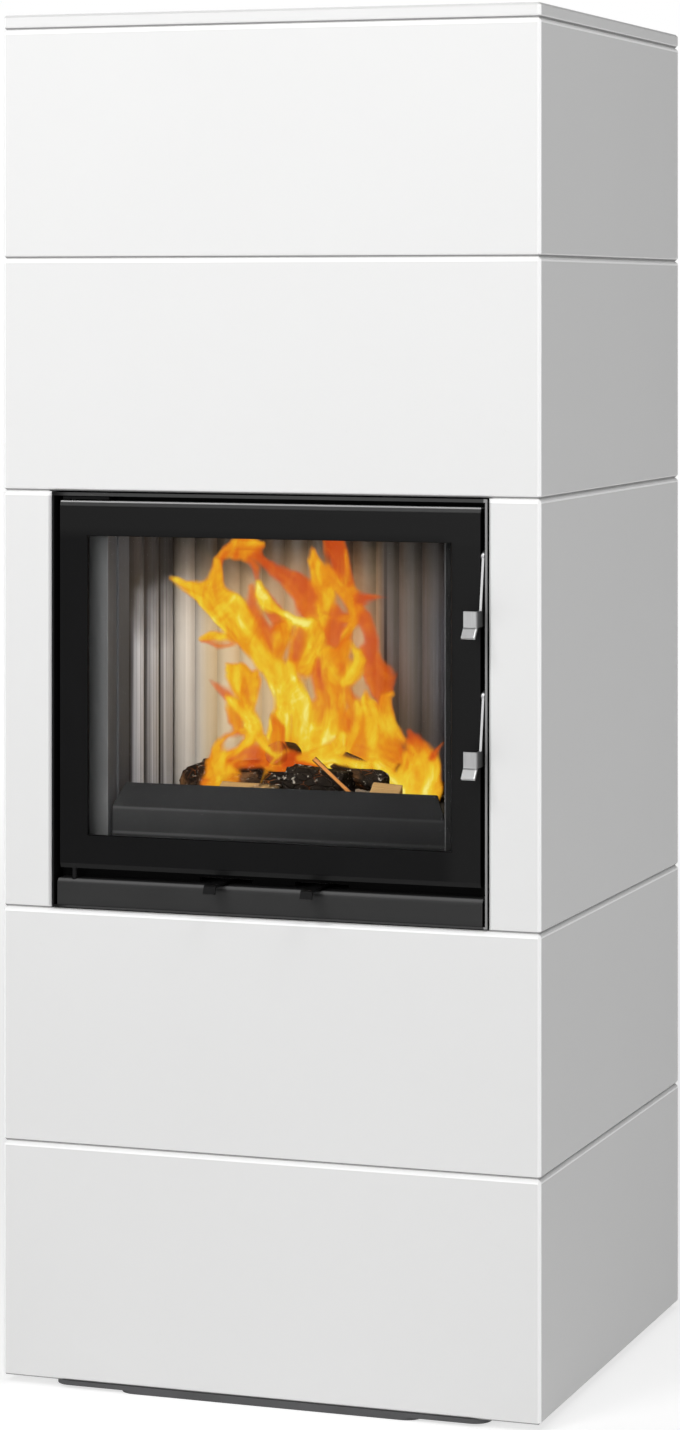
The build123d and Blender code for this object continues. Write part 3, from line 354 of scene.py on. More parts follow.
def guard_paint():
    """Black paint with painted shade, darker on the slope above and towards the right, and a painted
    highlight in one line along the fold and one at the foot."""
    made = Finish("guard_paint", Specular_IOR_Level=0.08)
    dust = made.dust()
    height = made.axis("Z")
    rise = (GUARD_HIGHLIGHT - 0.002, GUARD_HIGHLIGHT + 0.002)
    slope = height.step(*rise)
    fold = height.band(rise, (GUARD_HIGHLIGHT + 0.001, GUARD_HIGHLIGHT + 0.004))
    foot = height.band((GUARD_FOOT - 0.002, GUARD_FOOT), (GUARD_FOOT + 0.001, GUARD_FOOT + 0.003))
    # painted shade on the slope
    tone = made.mix(made.mix(grey(0.023), grey(0.028), dust), grey(0.014), slope)
    # painted highlight along the fold and the foot
    tone = made.mix(tone, grey(0.062), (fold + foot).clipped())
    # painted shade towards the right
    tone = made.mix(tone, grey(0.003), made.axis("X").step(*GUARD_SHADE) * 0.62)
    return made.give(Base_Color=tone, Roughness=0.5 + dust * 0.08)


def brushed_steel(name, level, across):
    """Steel with fine lines; across gives the stretch of the pattern along X, Y and Z."""
    made = Finish(name, Metallic=1.0)
    lines = made.noise(1.0, 4.0, made.stretched(across), roughness=0.65)
    stain = made.noise(35.0, 3.0)
    tone = made.mix(grey(level * 0.82), grey(min(level * 1.12, 1.0)), lines)
    tone = made.mix(tone, (level * 0.8, level * 0.77, level * 0.72), stain.step(0.55, 0.8) * 0.35)
    return made.give(Base_Color=tone, Roughness=0.24 + lines * 0.16, Normal=made.bump(lines, 0.00005))


def lever_steel(node):
    """Stainless strip: painted shade on the outer side that faces the casing, and a painted highlight on the
    lip of its tab.
    """
    made = Finish(node + "_steel", Metallic=1.0)
    low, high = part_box(node)
    lines = made.noise(1.0, 4.0, made.stretched((600.0, 600.0, 30.0)), roughness=0.65)
    side_shade = made.axis("X").step(*(high.x - depth for depth in TAB_SHADE))
    lip_highlight = 1.0 - made.axis("Z").step(*(low.z + rise for rise in TAB_HIGHLIGHT))
    # painted highlight on the lip
    tone = made.mix(made.mix(grey(0.28), grey(0.42), lines), grey(0.95), lip_highlight)
    # painted shade on the outer side
    tone = made.mix(tone, grey(0.07), side_shade)
    return made.give(Base_Color=tone, Roughness=0.28 + lines * 0.14, Normal=made.bump(lines, 0.00005))


def mill_steel(name, level, tint=(1.0, 1.0, 1.0), spangle=0.0):
    """Plain sheet with a mottled skin, and crystals in it where it is galvanised."""
    made = Finish(name, Metallic=0.85)
    mottle = made.noise(28.0, 5.0)
    crystals = made.cells(70.0)
    dark = tuple(level * 0.7 * t for t in tint)
    light = tuple(level * 1.25 * t for t in tint)
    tone = made.mix(dark, light, (mottle + crystals * spangle).clipped())
    return made.give(Base_Color=tone, Roughness=0.4 + mottle * 0.2, Normal=made.bump(mottle, 0.0001))


def flange_steel():
    """Black paint that has burnt off to a satin grey beside the opening, with painted light at the left,
    painted shade at the right and a painted highlight along the opening's edge; the black outside the window
    also paints the shade in the gap under the door.
    """
    made = Finish("flange_steel", Specular_IOR_Level=0.05)
    x, z = made.axis("X"), made.axis("Z")
    low, high = FLANGE_WINDOW
    bare = z.band((low, low + 0.002), (high - 0.002, high))
    inner = 1.0 - x.magnitude().step(*FLANGE_BARE)
    lit = 1.0 - x.step(*FLANGE_LIT)
    edge = 1.0 - x.magnitude().step(*(FLANGE_EDGE + width for width in FLANGE_RIM))
    mottle = made.noise(24.0, 4.0)
    # burnt grey with painted light at the left and painted shade at the right
    burnt_and_lit = made.mix(grey(0.010), grey(0.082), lit)
    # painted highlight along the opening's edge
    burnt_and_lit = made.mix(burnt_and_lit, grey(0.12), edge * 0.6)
    # black paint outside the window, which also paints the shade in the gap under the door
    tone = made.mix(grey(0.003), burnt_and_lit, bare * inner)
    return made.give(Base_Color=tone, Roughness=0.5 + mottle * 0.12, Normal=made.bump(mottle, 0.0002))


def sleeve_paint():
    """Black sheet with a painted highlight on its front edge, faint along the top and bright at the right."""
    made = Finish("sleeve_paint", Specular_IOR_Level=0.1)
    x = made.axis("X")
    front = 1.0 - made.axis("Y").step(*(FRONT_FACE + depth for depth in SLEEVE_HIGHLIGHT))
    dust = made.dust()
    tone = made.mix(grey(0.003), grey(0.006), dust)
    # painted highlight on the front edge along the top
    tone = made.mix(tone, grey(0.045), front * x.step(*SLEEVE_LEFT))
    # and brighter at the right
    tone = made.mix(tone, grey(0.24), front * x.step(*SLEEVE_RIGHT))
    return made.give(Base_Color=tone, Roughness=0.45 + dust * 0.08)


def satin_plate():
    """Smooth steel plate dulled by heat, with faint upright rolling lines."""
    made = Finish("satin_plate", Specular_IOR_Level=0.15)
    lines = made.noise(1.0, 3.0, made.stretched((220.0, 220.0, 3.0)))
    cloud = made.noise(6.0, 3.0)
    tone = made.mix((0.048, 0.049, 0.052), (0.082, 0.083, 0.087), lines * 0.7 + cloud * 0.3)
    return made.give(Base_Color=tone, Roughness=0.5 + cloud * 0.1, Normal=made.bump(lines, 0.0001))


def pressed_lining(
    name, letter, groove, pitch, smoke, crest, valley, scorched, groove_shade_width, groove_shade_depth, contrast
):
    """Ribbed heat-proof panel: painted highlights on the crests, painted shade in the grooves, rolling lines,
    and soot that thickens upwards. The ribs lie side by side along the axis of that letter, one pitch apart,
    from the given groove on. What stands at the right of the seam is in painted blue-grey shade, darker
    towards the bottom."""
    made = Finish(name, Specular_IOR_Level=0.3)
    across = made.axis(letter) - groove
    x, height = made.axis("X"), made.axis("Z")
    from_groove = across.maths("PINGPONG", across, pitch / 2) / pitch
    rib = across.maths("FLOOR", across / pitch)
    own = made.node("ShaderNodeTexWhiteNoise", {"noise_dimensions": "1D"}, {"W": rib})
    streak = made.noise(1.0, 4.0, made.stretched((240.0, 240.0, 1.6)), roughness=0.6)
    blotch = made.noise(9.0, 4.0, distortion=0.6)
    grit = made.noise(700.0, 2.0)
    # painted light across each rib: bright crests and shaded grooves
    bowed = from_groove.step(0.0, 0.30) * 0.6 + (own - 0.5) * 0.6 + (streak - 0.5) * 1.5
    lit = (bowed - 0.3) * contrast + 0.5
    tone = made.mix(valley, crest, lit.clipped())
    # painted shade along the bottom of each groove
    line = 1.0 - from_groove.step(0.01, groove_shade_width)
    tone = made.mix(tone, (0.012, 0.011, 0.010), line * groove_shade_depth)
    low, high = smoke
    cloudy = height + (blotch - 0.5) * 0.10
    scorch = cloudy.step(low - 0.06, high - 0.04)
    soot = cloudy.step(low, high)
    tone = made.mix(tone, (0.48, 0.37, 0.21), x.step(*PANEL_TAN) * 0.80)
    seam = 1.0 - (x - PANEL_SEAM).magnitude().step(*SEAM_WIDTH)
    # painted shade right of the seam, deeper further right and towards the bottom
    shade = x.step(PANEL_SEAM - SEAM_SHADE, PANEL_SEAM) * 0.80 + x.step(*DEEP_SHADE) * 0.15
    shaded_tone = made.mix((0.015, 0.0155, 0.021), (0.090, 0.094, 0.128), (streak * 1.8 - 0.45).clipped())
    tone = made.mix(tone, shaded_tone, shade)
    tone = made.mix(tone, grey(0.008), shade * (1.0 - height.step(*LOW_SHADE)) * 0.7)
    tone = made.mix(tone, (0.010, 0.009, 0.009), seam * 0.85)
    tone = made.mix(tone, scorched, scorch * (1.0 - shade * 0.7) * 0.7)
    tone = made.mix(tone, (0.018, 0.016, 0.014), soot * 0.90)
    relief = streak * 0.00035 + grit * 0.00006
    return made.give(Base_Color=tone, Roughness=0.5 - streak * 0.12, Normal=made.bump(relief, 1.0))


def hearth_clay():
    """Pale fireclay under a thin veil of ash, near black behind the log guard and at the right."""
    made = Finish("hearth_clay")
    blotch = made.noise(16.0, 5.0, distortion=0.5)
    grit = made.noise(600.0, 3.0)
    tone = made.mix((0.30, 0.28, 0.26), (0.62, 0.60, 0.57), blotch.step(0.3, 0.7))
    # near black behind the log guard and at the right
    clay_shows = made.axis("Y").step(*HEARTH_CLAY_Y) * (1.0 - made.axis("X").step(*HEARTH_DARK_X))
    tone = made.mix((0.012, 0.011, 0.010), tone, clay_shows)
    return made.give(Base_Color=tone, Roughness=0.85 + grit * 0.1, Normal=made.bump(grit, 0.0004))


def storage_stone():
    """Coarse grey-brown concrete with stone chips."""
    made = Finish("storage_stone")
    grit = made.noise(260.0, 5.0)
    chips = made.cells(95.0).step(0.0, 0.5)
    tone = made.mix((0.20, 0.185, 0.165), (0.40, 0.385, 0.36), (grit * 0.6 + chips * 0.4).clipped())
    return made.give(Base_Color=tone, Roughness=0.85 + grit * 0.1, Normal=made.bump(grit, 0.0008))


def braided_fibre():
    """Glass-fibre rope: short slanting strands that cross."""
    made = Finish("braided_fibre")
    x, y, z = (made.axis(letter) for letter in "XYZ")
    strands = 1900.0
    first = ((x + z + y) * strands).sine()
    second = ((x - z + y) * strands).sine()
    weave = (first * second * 0.5 + 0.5).clipped()
    fluff = made.noise(1500.0, 2.0)
    tone = made.mix((0.10, 0.098, 0.095), (0.30, 0.29, 0.28), weave * 0.7 + fluff * 0.3)
    return made.give(Base_Color=tone, Roughness=0.92, Normal=made.bump(weave + fluff * 0.5, 0.0004))


def clear_pane():
    """Heat-proof glass. Lamps reach through it, so that the fire chamber is lit as it is by daylight."""
    made = Finish("clear_pane", Transmission_Weight=1.0, IOR=1.02, Roughness=0.015)
    film = made.noise(11.0, 4.0, distortion=0.8)
    made.give(Base_Color=made.mix((0.985, 0.99, 0.99), (0.93, 0.935, 0.93), film.step(0.45, 0.8)))
    passing = made.node("ShaderNodeBsdfTransparent")
    lamp = made.node("ShaderNodeLightPath", output="Is Shadow Ray")
    pane = Value(made, made.shader.outputs[0])
    both = made.node("ShaderNodeMixShader", None, {0: lamp, 1: pane, 2: passing})
    made.tree.links.new(both.output, made.tree.nodes["Material Output"].inputs["Surface"])
    return made.material


def charred_wood(name, char_from, char_to, tint=(0.54, 0.33, 0.13)):
    """Split wood that burns: grain where it is fresh, bark outside, and checked char with a few embers."""
    made = Finish(name, Emission_Strength=1.5, Specular_IOR_Level=0.10)
    grain_place = made.attribute("grain", output="Vector")
    reach = made.attribute("reach")
    fibres = made.noise(1.0, 4.0, made.stretched((260.0, 260.0, 14.0), grain_place), roughness=0.6)
    blocks = made.cells(1.0, "DISTANCE_TO_EDGE", made.stretched((120.0, 120.0, 62.0), grain_place))
    patch = made.noise(22.0, 4.0, grain_place, distortion=0.7)
    crumbs = made.noise(170.0, 2.0, grain_place)
    eaten = made.axis("Z", grain_place).step(0.040, 0.070) * 0.22
    burnt = (patch + eaten).step(char_from, char_to)
    bark = (reach + fibres * 0.06).step(0.90, 0.96)
    rings = (reach * 34.0 + fibres * 2.0).sine()
    wood = made.mix(tuple(0.5 * c for c in tint), tint, fibres)
    wood = made.mix(wood, tuple(0.35 * c for c in tint), rings.step(0.2, 1.0) * 0.6)
    wood = made.mix(wood, (0.050, 0.026, 0.013), bark)
    char = made.mix((0.004, 0.0032, 0.0026), (0.026, 0.018, 0.012), fibres)
    char = made.mix(char, (0.42, 0.37, 0.30), crumbs.step(0.63, 0.69) * 0.8)
    ember = (1.0 - blocks.step(0.0, 0.04)) * burnt * patch.step(0.55, 0.7) * 0.35
    relief = fibres * 0.0010 + blocks.step(0.0, 0.12) * burnt * 0.0022 + crumbs * 0.0010
    made.give(Normal=made.bump(relief, 1.0), Roughness=0.72 + fibres * 0.2)
    return made.give(
        Base_Color=made.mix(wood, char, burnt),
        Emission_Color=made.mix((0.0, 0.0, 0.0), (0.9, 0.22, 0.02), ember),
    )


def wood_ash():
    """Pale flakes among black crumbs, with sparks that still glow."""
    made = Finish("wood_ash", Emission_Strength=1.3)
    flakes = made.noise(240.0, 4.0)
    patch = made.noise(34.0, 4.0)
    tone = made.mix((0.16, 0.15, 0.145), (0.62, 0.60, 0.58), flakes.step(0.3, 0.7))
    tone = made.mix(tone, (0.02, 0.018, 0.017), patch.step(0.52, 0.66))
    sparks = flakes.step(0.60, 0.70) * patch.step(0.55, 0.7)
    made.give(Emission_Color=made.mix((0.0, 0.0, 0.0), (1.0, 0.27, 0.03), sparks))
    return made.give(Base_Color=tone, Roughness=0.95, Normal=made.bump(flakes, 0.001))


def burning_gas():
    """Deep orange at its thin edge and in its veils, yellow in its body, with threads that follow it."""
    made = Finish("burning_gas", Emission_Strength=1.0, Specular_IOR_Level=0.0, Roughness=1.0)
    depth, warmth, silk = (made.attribute(name) for name in ("fervour", "warmth", "silk"))
    patch = made.noise(32.0, 3.0, made.stretched((1.0, 1.0, 0.6)), distortion=1.1)
    body = warmth * 0.84 + (silk - 0.5) * 0.26 + (patch - 0.5) * 1.15 - 0.01
    rim = depth.step(0.0, 0.75)
    glow = (body * (rim * 0.3 + 0.7)).clipped()
    hue = made.ramp(
        glow,
        (0.0, (0.62, 0.075, 0.010)),
        (0.22, (0.72, 0.145, 0.012)),
        (0.45, (0.78, 0.270, 0.014)),
        (0.66, (0.83, 0.450, 0.022)),
        (0.84, (0.85, 0.600, 0.040)),
        (1.0, (0.93, 0.820, 0.200)),
    )
    veil = depth.step(0.0, 0.70) * (warmth * 0.45 + silk * 0.16 + 0.50)
    black = (0.0, 0.0, 0.0, 1.0)
    return made.give(Base_Color=black, Emission_Color=hue, Alpha=veil.at_most(0.97))


# --- Modelling help
def pick_nothing():
    if bpy.context.mode != "OBJECT":
        bpy.ops.object.mode_set(mode="OBJECT")
    bpy.ops.object.select_all(action="DESELECT")


def pick_only(piece):
    pick_nothing()
    piece.select_set(True)
    bpy.context.view_layer.objects.active = piece


def started(name):
    """The primitive that was just added, under its name."""
    piece = bpy.context.object
    piece.name = name
    piece.data.name = name
    return piece


def settle(piece):
    """Puts the piece's place into its mesh."""
    pick_only(piece)
    bpy.ops.object.transform_apply(location=True, rotation=True, scale=True)


def apply_modifier(piece, kind, **settings):
    pick_only(piece)
    modifier = piece.modifiers.new(kind.lower(), kind)
    for name, value in settings.items():
        setattr(modifier, name, value)
    bpy.ops.object.modifier_apply(modifier=modifier.name)


def trim(piece, spare):
    """Takes away the faces whose corners are all spare."""
    bpy.ops.object.mode_set(mode="EDIT")
    bpy.ops.mesh.select_mode(type="FACE")
    bpy.ops.mesh.select_all(action="DESELECT")
    bpy.ops.object.mode_set(mode="OBJECT")
    for face in piece.data.polygons:
        face.select = bool(spare[list(face.vertices)].all())
    bpy.ops.object.mode_set(mode="EDIT")
    bpy.ops.mesh.delete(type="FACE")
    bpy.ops.mesh.select_all(action="SELECT")
    bpy.ops.mesh.delete_loose()
    bpy.ops.object.mode_set(mode="OBJECT")


def dress(piece, material, body):
    """Gives the piece its material, the body that it rides on and the slot of its finish."""
    piece.data.materials.clear()
    piece.data.materials.append(material)
    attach(piece, body)


def points_of(piece):
    flat = np.empty(len(piece.data.vertices) * 3, np.float32)
    piece.data.vertices.foreach_get("co", flat)
    return flat.reshape(-1, 3).astype(float)


def set_points(piece, points):
    piece.data.vertices.foreach_set("co", np.asarray(points, np.float32).ravel())
    piece.data.update()


def keep(piece, name, values, kind="FLOAT", entry="value"):
    """Stores a value of each point under a name that its finish reads."""
    found = piece.data.attributes.new(name, kind, "POINT")
    found.data.foreach_set(entry, np.asarray(values, np.float32).ravel())


# --- Flames
FLAME_CELL = 0.0018
FLAME_LOW = (-0.205, 0.700)  # X and Z of a sheet's lower left corner
FLAME_HIGH = (0.205, 1.034)
FLAME_THICKNESS = 0.014  # of a sheet in the middle of a broad lick
FLAME_THIN = 0.04  # share of it that is left at the edge
FLAME_BODY = 0.02  # from the edge of a lick to its full thickness
FLAME_RIM = 0.010  # from the edge of a lick to its full glow
FLAME_WAVER = 0.012  # how far a sheet wanders to the front and rear
FLAME_DRIFT = 0.0045  # how far the broad waves push an edge
FLAME_RIPPLE = 0.0016  # how far the fine ones do
FLAME_FRAY = 0.003  # how far a thread draws an edge out or in
FLAME_MELT = 0.003  # licks nearer than this run together
THREAD_REACH = 14  # cells that a bright thread runs each way along its lick
# Each lick is its warmth, from 0 for a dull orange veil to 1 for pale yellow, and its line of
# (X, Z, half width) in millimetres, from root to tip.
FLAMES_BACK = [
    (0.55, [(-135, 965, 9), (-135, 980, 8), (-134, 992, 8), (-125, 1002, 11), (-112, 1005, 15),
            (-98, 1005, 17), (-85, 1005, 13), (-75, 1008, 7)]),
    (0.25, [(-80, 965, 4), (-84, 980, 6), (-92, 992, 6)]),
    (0.15, [(-10, 945, 17), (-32, 963, 17), (-52, 974, 12), (-68, 985, 9), (-84, 998, 8)]),
    (0.30, [(-8, 925, 14), (-20, 935, 17), (-28, 950, 14), (-35, 962, 11)]),
    (0.75, [(-3, 905, 14), (-2, 918, 15), (0, 933, 17), (1, 949, 17), (0, 966, 17), (-4, 980, 14),
            (-8, 992, 11), (-10, 1004, 7), (-12, 1010, 3)]),
    (0.65, [(28, 880, 7), (30, 900, 7), (38, 911, 8), (46, 922, 11), (44, 935, 12), (37, 949, 12),
            (24, 966, 12), (8, 980, 9)]),
    (0.12, [(13, 885, 17), (16, 905, 19), (17, 925, 14)]),
    (0.30, [(14, 985, 3), (15, 1000, 3), (13, 1009, 2)]),
    (0.45, [(32, 962, 3), (33, 985, 3), (32, 1006, 2)]),
    (0.05, [(30, 965, 12), (25, 988, 14), (20, 1006, 15), (18, 1026, 15)]),
    (0.10, [(48, 944, 11), (62, 947, 8), (78, 949, 4), (88, 950, 2)]),
    (0.12, [(70, 878, 9), (66, 893, 11), (62, 908, 12), (56, 922, 12)]),
    (0.14, [(84, 822, 9), (82, 836, 15), (78, 852, 20), (68, 867, 17), (60, 882, 11)]),
    (0.50, [(-5, 955, 10), (12, 968, 11), (24, 955, 9), (32, 944, 7)]),
    (0.42, [(-4, 925, 12), (15, 922, 10), (34, 921, 9)]),
    (0.10, [(-45, 905, 12), (-60, 930, 12), (-72, 950, 8)]),
    (0.08, [(82, 838, 9), (92, 846, 7), (100, 853, 3)]),
]
FLAMES_MIDDLE = [
    (0.85, [(-36, 848, 15), (-45, 868, 18), (-64, 889, 21), (-86, 911, 25), (-108, 932, 26), (-129, 949, 21),
            (-148, 957, 12), (-164, 962, 8), (-180, 968, 4)]),
    (0.70, [(-120, 940, 17), (-122, 956, 14), (-122, 972, 11), (-121, 990, 7)]),
    (0.30, [(-48, 887, 9), (-54, 905, 12), (-64, 922, 9), (-74, 938, 8), (-78, 960, 6)]),
    (1.00, [(2, 915, 8), (-18, 922, 7), (-38, 931, 8), (-53, 939, 11), (-63, 952, 11), (-68, 966, 6)]),
    (0.60, [(-42, 885, 14), (-37, 903, 17), (-29, 914, 11), (-22, 918, 6)]),
    (0.80, [(-8, 868, 17), (2, 884, 18), (8, 900, 15), (6, 915, 11)]),
    (0.22, [(-15, 876, 12), (-14, 890, 12), (-10, 905, 13)]),
    (0.62, [(24, 795, 26), (31, 822, 20), (28, 842, 24), (28, 860, 28), (32, 868, 26), (39, 880, 15),
            (46, 898, 9), (52, 912, 4)]),
    (0.20, [(30, 815, 8), (22, 835, 11), (16, 855, 11), (14, 870, 8)]),
    (0.80, [(50, 850, 11), (61, 863, 11), (66, 875, 11), (63, 884, 8), (55, 892, 4)]),
    (0.95, [(-44, 755, 17), (-39, 776, 17), (-37, 795, 15), (-33, 813, 13), (-33, 835, 13), (-34, 856, 14)]),
    (0.95, [(-4, 757, 26), (-3, 776, 26), (-2, 795, 24), (-7, 813, 19), (-14, 830, 14), (-19, 846, 11),
            (-24, 865, 8)]),
    (0.25, [(-44, 752, 19), (-24, 748, 21), (-4, 745, 19), (12, 748, 12)]),
    (0.80, [(88, 752, 24), (84, 776, 28), (83, 792, 26), (78, 809, 17), (71, 823, 9), (72, 836, 4)]),
    (0.55, [(93, 785, 17), (98, 808, 13), (96, 828, 11), (104, 832, 6)]),
    (0.75, [(98, 806, 9), (110, 787, 11), (120, 777, 7), (124, 770, 3)]),
    (0.88, [(46, 757, 18), (56, 776, 22), (61, 792, 18), (63, 809, 11), (60, 822, 4)]),
    (0.75, [(-97, 892, 3), (-106, 899, 7), (-130, 897, 8), (-143, 891, 5)]),
    (0.40, [(-141, 889, 5), (-122, 885, 6), (-100, 889, 4)]),
    (0.35, [(5, 800, 20), (20, 825, 14), (15, 845, 8)]),
    (0.30, [(55, 790, 18), (58, 815, 10), (48, 835, 8)]),
    (0.45, [(70, 770, 26), (100, 765, 22), (118, 760, 12)]),
    (0.92, [(28, 758, 24), (31, 780, 26)]),
]
FLAMES_FRONT = [
    (0.85, [(-60, 810, 4), (-65, 828, 15), (-71, 844, 21), (-78, 857, 17), (-87, 864, 9), (-92, 870, 4)]),
    (0.85, [(-62, 838, 12), (-58, 850, 11), (-56, 860, 6), (-56, 866, 2)]),
    (0.22, [(-62, 820, 7), (-67, 835, 11)]),
    (0.08, [(-94, 832, 7), (-105, 843, 6), (-114, 849, 3)]),
    (0.90, [(-32, 759, 7), (-44, 768, 7), (-54, 782, 9), (-63, 801, 12), (-76, 815, 12), (-88, 823, 8),
            (-94, 832, 3)]),
    (0.50, [(-78, 790, 9), (-84, 802, 11), (-89, 814, 8)]),
    (0.85, [(-96, 750, 11), (-78, 763, 8), (-66, 775, 9), (-64, 792, 11)]),
    (0.60, [(-105, 770, 6), (-94, 781, 6), (-81, 787, 6), (-68, 786, 6)]),
    (0.80, [(-104, 730, 20), (-110, 747, 15), (-108, 761, 11), (-103, 775, 6)]),
    (0.95, [(-93, 727, 13), (-95, 742, 13), (-98, 755, 9)]),
    (0.40, [(-118, 722, 8), (-103, 724, 16), (-86, 730, 11)]),
    (0.30, [(-38, 756, 11), (-56, 761, 12), (-73, 759, 11), (-91, 750, 8)]),
    (0.15, [(-40, 746, 6), (-61, 748, 7), (-83, 746, 6)]),
    (0.75, [(-51, 722, 3), (-42, 741, 4), (-30, 756, 6), (-18, 764, 4)]),
    (0.25, [(20, 744, 6), (8, 750, 11), (-10, 754, 14), (-30, 749, 8)]),
    (0.35, [(-30, 770, 13), (-27, 789, 11), (-32, 804, 6)]),
    (1.00, [(2, 756, 9), (24, 759, 13), (40, 765, 14), (52, 773, 14), (57, 785, 9)]),
    (0.95, [(48, 762, 8), (64, 755, 8), (82, 750, 9), (101, 752, 11), (116, 743, 12), (128, 731, 12),
            (141, 718, 12)]),
    (0.95, [(156, 714, 26), (162, 733, 27), (162, 752, 24), (156, 768, 18), (148, 780, 10)]),
    (0.12, [(154, 775, 15), (148, 785, 12), (142, 795, 6)]),
    (0.75, [(138, 730, 13), (136, 743, 12), (140, 757, 9), (138, 769, 6)]),
    (0.10, [(172, 764, 6), (179, 774, 4), (186, 781, 2)]),
]


def flame_field(x, z, licks, seed):
    """Each point's depth inside the licks in metres, their warmth there, and the way that they run."""
    warped_x, warped_z = np.empty_like(x), np.empty_like(z)
    for i, (px, pz) in enumerate(zip(x, z)):
        drift = noise.noise_vector(Vector((px * 24.0, seed, pz * 16.0)))
        ripple = noise.noise_vector(Vector((px * 90.0, seed + 9.0, pz * 50.0)))
        warped_x[i] = px + drift.x * FLAME_DRIFT + ripple.x * FLAME_RIPPLE
        warped_z[i] = pz + drift.z * FLAME_DRIFT + ripple.z * FLAME_RIPPLE
    melted, share, warm = np.zeros_like(x), np.zeros_like(x), np.zeros_like(x)
    turned = np.zeros(len(x), complex)
    for warmth, line in licks:
        depth, near, way = np.full(len(x), -1.0), np.full(len(x), -9.0), np.zeros(len(x), complex)
        for (ax, az, a_half), (bx, bz, b_half) in zip(line, line[1:]):
            run = np.array((bx - ax, bz - az)) / 1000
            from_start = np.column_stack((warped_x - ax / 1000, warped_z - az / 1000))
            along = np.clip(from_start @ run / (run @ run), 0.0, 1.0)
            gap = np.linalg.norm(from_start - along[:, None] * run, axis=1)
            half = (a_half + (b_half - a_half) * along) / 1000
            nearer = half - gap > depth
            depth = np.where(nearer, half - gap, depth)
            near = np.where(nearer, 1.0 - gap / half, near)
            way = np.where(nearer, np.exp(2j * math.atan2(run[1], run[0])), way)
        melted += np.exp(depth / FLAME_MELT)
        weight = np.exp(4.0 * near)
        share += weight
        warm += weight * warmth
        turned += weight * way
    share = np.maximum(share, 1e-9)
    return FLAME_MELT * np.log(np.maximum(melted, 1e-9)), warm / share, np.angle(turned) / 2


def gas_grain(x, z, seed):
    """Coarse lumps with finer ones on them."""
    coarse = noise.noise(Vector((x * 120.0, seed, z * 120.0)))
    return coarse + 0.3 * noise.noise(Vector((x * 380.0, z * 380.0, seed)))


def threads(grain, way):
    """The grain drawn out along the licks, as rising gas draws its light and dark into threads."""
    rows, columns = grain.shape
    total = grain.copy()
    for sense in (1.0, -1.0):
        row, column = np.mgrid[0:rows, 0:columns]
        place = column + 1j * row
        last = sense * np.exp(1j * way)
        for _ in range(THREAD_REACH):
            place = place + last
            column = np.clip(np.rint(place.real), 0, columns - 1).astype(int)
            row = np.clip(np.rint(place.imag), 0, rows - 1).astype(int)
            step = np.exp(1j * way[row, column])
            last = np.where((step * last.conj()).real < 0.0, -step, step)
            total += grain[row, column]
    return np.clip(0.5 + (total - total.mean()) / total.std() * 0.2, 0.0, 1.0)


def flame_sheet(name, licks, depth, seed, material):
    """A grid across the fire, trimmed to the licks, swollen in their middles and closed all round."""
    pick_nothing()
    width = FLAME_HIGH[0] - FLAME_LOW[0]
    height = FLAME_HIGH[1] - FLAME_LOW[1]
    columns, rows = round(width / FLAME_CELL), round(height / FLAME_CELL)
    bpy.ops.mesh.primitive_grid_add(x_subdivisions=columns, y_subdivisions=rows, size=1.0)
    piece = started(name)
    flat = points_of(piece)
    column = np.rint((flat[:, 0] + 0.5) * columns).astype(int)
    row = np.rint((flat[:, 1] + 0.5) * rows).astype(int)
    x = FLAME_LOW[0] + column * width / columns
    z = FLAME_LOW[1] + row * height / rows
    inside, warmth, way = flame_field(x, z, licks, seed)
    way_map = np.zeros((rows + 1, columns + 1))
    way_map[row, column] = way
    grain = np.zeros(way_map.shape)
    grain[row, column] = [gas_grain(px, pz, seed) for px, pz in zip(x, z)]
    silk = threads(grain, way_map)[row, column]
    inside = inside + (silk - 0.5) * FLAME_FRAY
    waver = [noise.noise(Vector((px * 9.0, pz * 7.0, seed))) * FLAME_WAVER for px, pz in zip(x, z)]
    set_points(piece, np.column_stack((x, depth + np.array(waver), z)))
    keep(piece, "fervour", np.clip(inside / FLAME_RIM, 0.0, 1.0))
    keep(piece, "warmth", warmth)
    keep(piece, "silk", silk)
    body = piece.vertex_groups.new(name="body")
    for i, value in enumerate(inside / FLAME_BODY):
        body.add([i], min(float(max(value, 0.0)) ** 0.5, 1.0), "REPLACE")
    trim(piece, inside <= 0.0)
    apply_modifier(
        piece, "SOLIDIFY", thickness=FLAME_THICKNESS, offset=0.0, vertex_group="body",
        thickness_vertex_group=FLAME_THIN, use_rim=True,
    )
    bpy.ops.object.shade_smooth()
    piece.visible_shadow = False
    dress(piece, material, "casing")


# --- Logs, embers and ash
BILLET_CORNERS = 28
BILLET_STEPS = 9
SPLINTERS = 0.055  # how deep the marks of the wood go, as shares of the radius
HOLLOWS = 0.12
END_GRAIN = 0.05
ASH_MIDDLE = -0.152  # Y
ASH_SHEET = (0.350, 0.150)  # size of the grid that the bed is cut from
ASH_REACH = (0.160, 0.072)  # from the middle to the edge of the bed
ASH_HEIGHT = 0.010
ASH_CRUMBS = 0.006
ASH_SKIN = 0.001
ASH_LIFT = 0.0012  # of its upper side at the edge
# A flat that a log was split to is the angle of its normal in radians, and its distance from the log's
# axis as a share of the radius.
HALF = ((0.0, 0.12),)
WEDGE = ((0.3, 0.2), (2.2, 0.28))
ROUND = ((1.0, 0.82),)
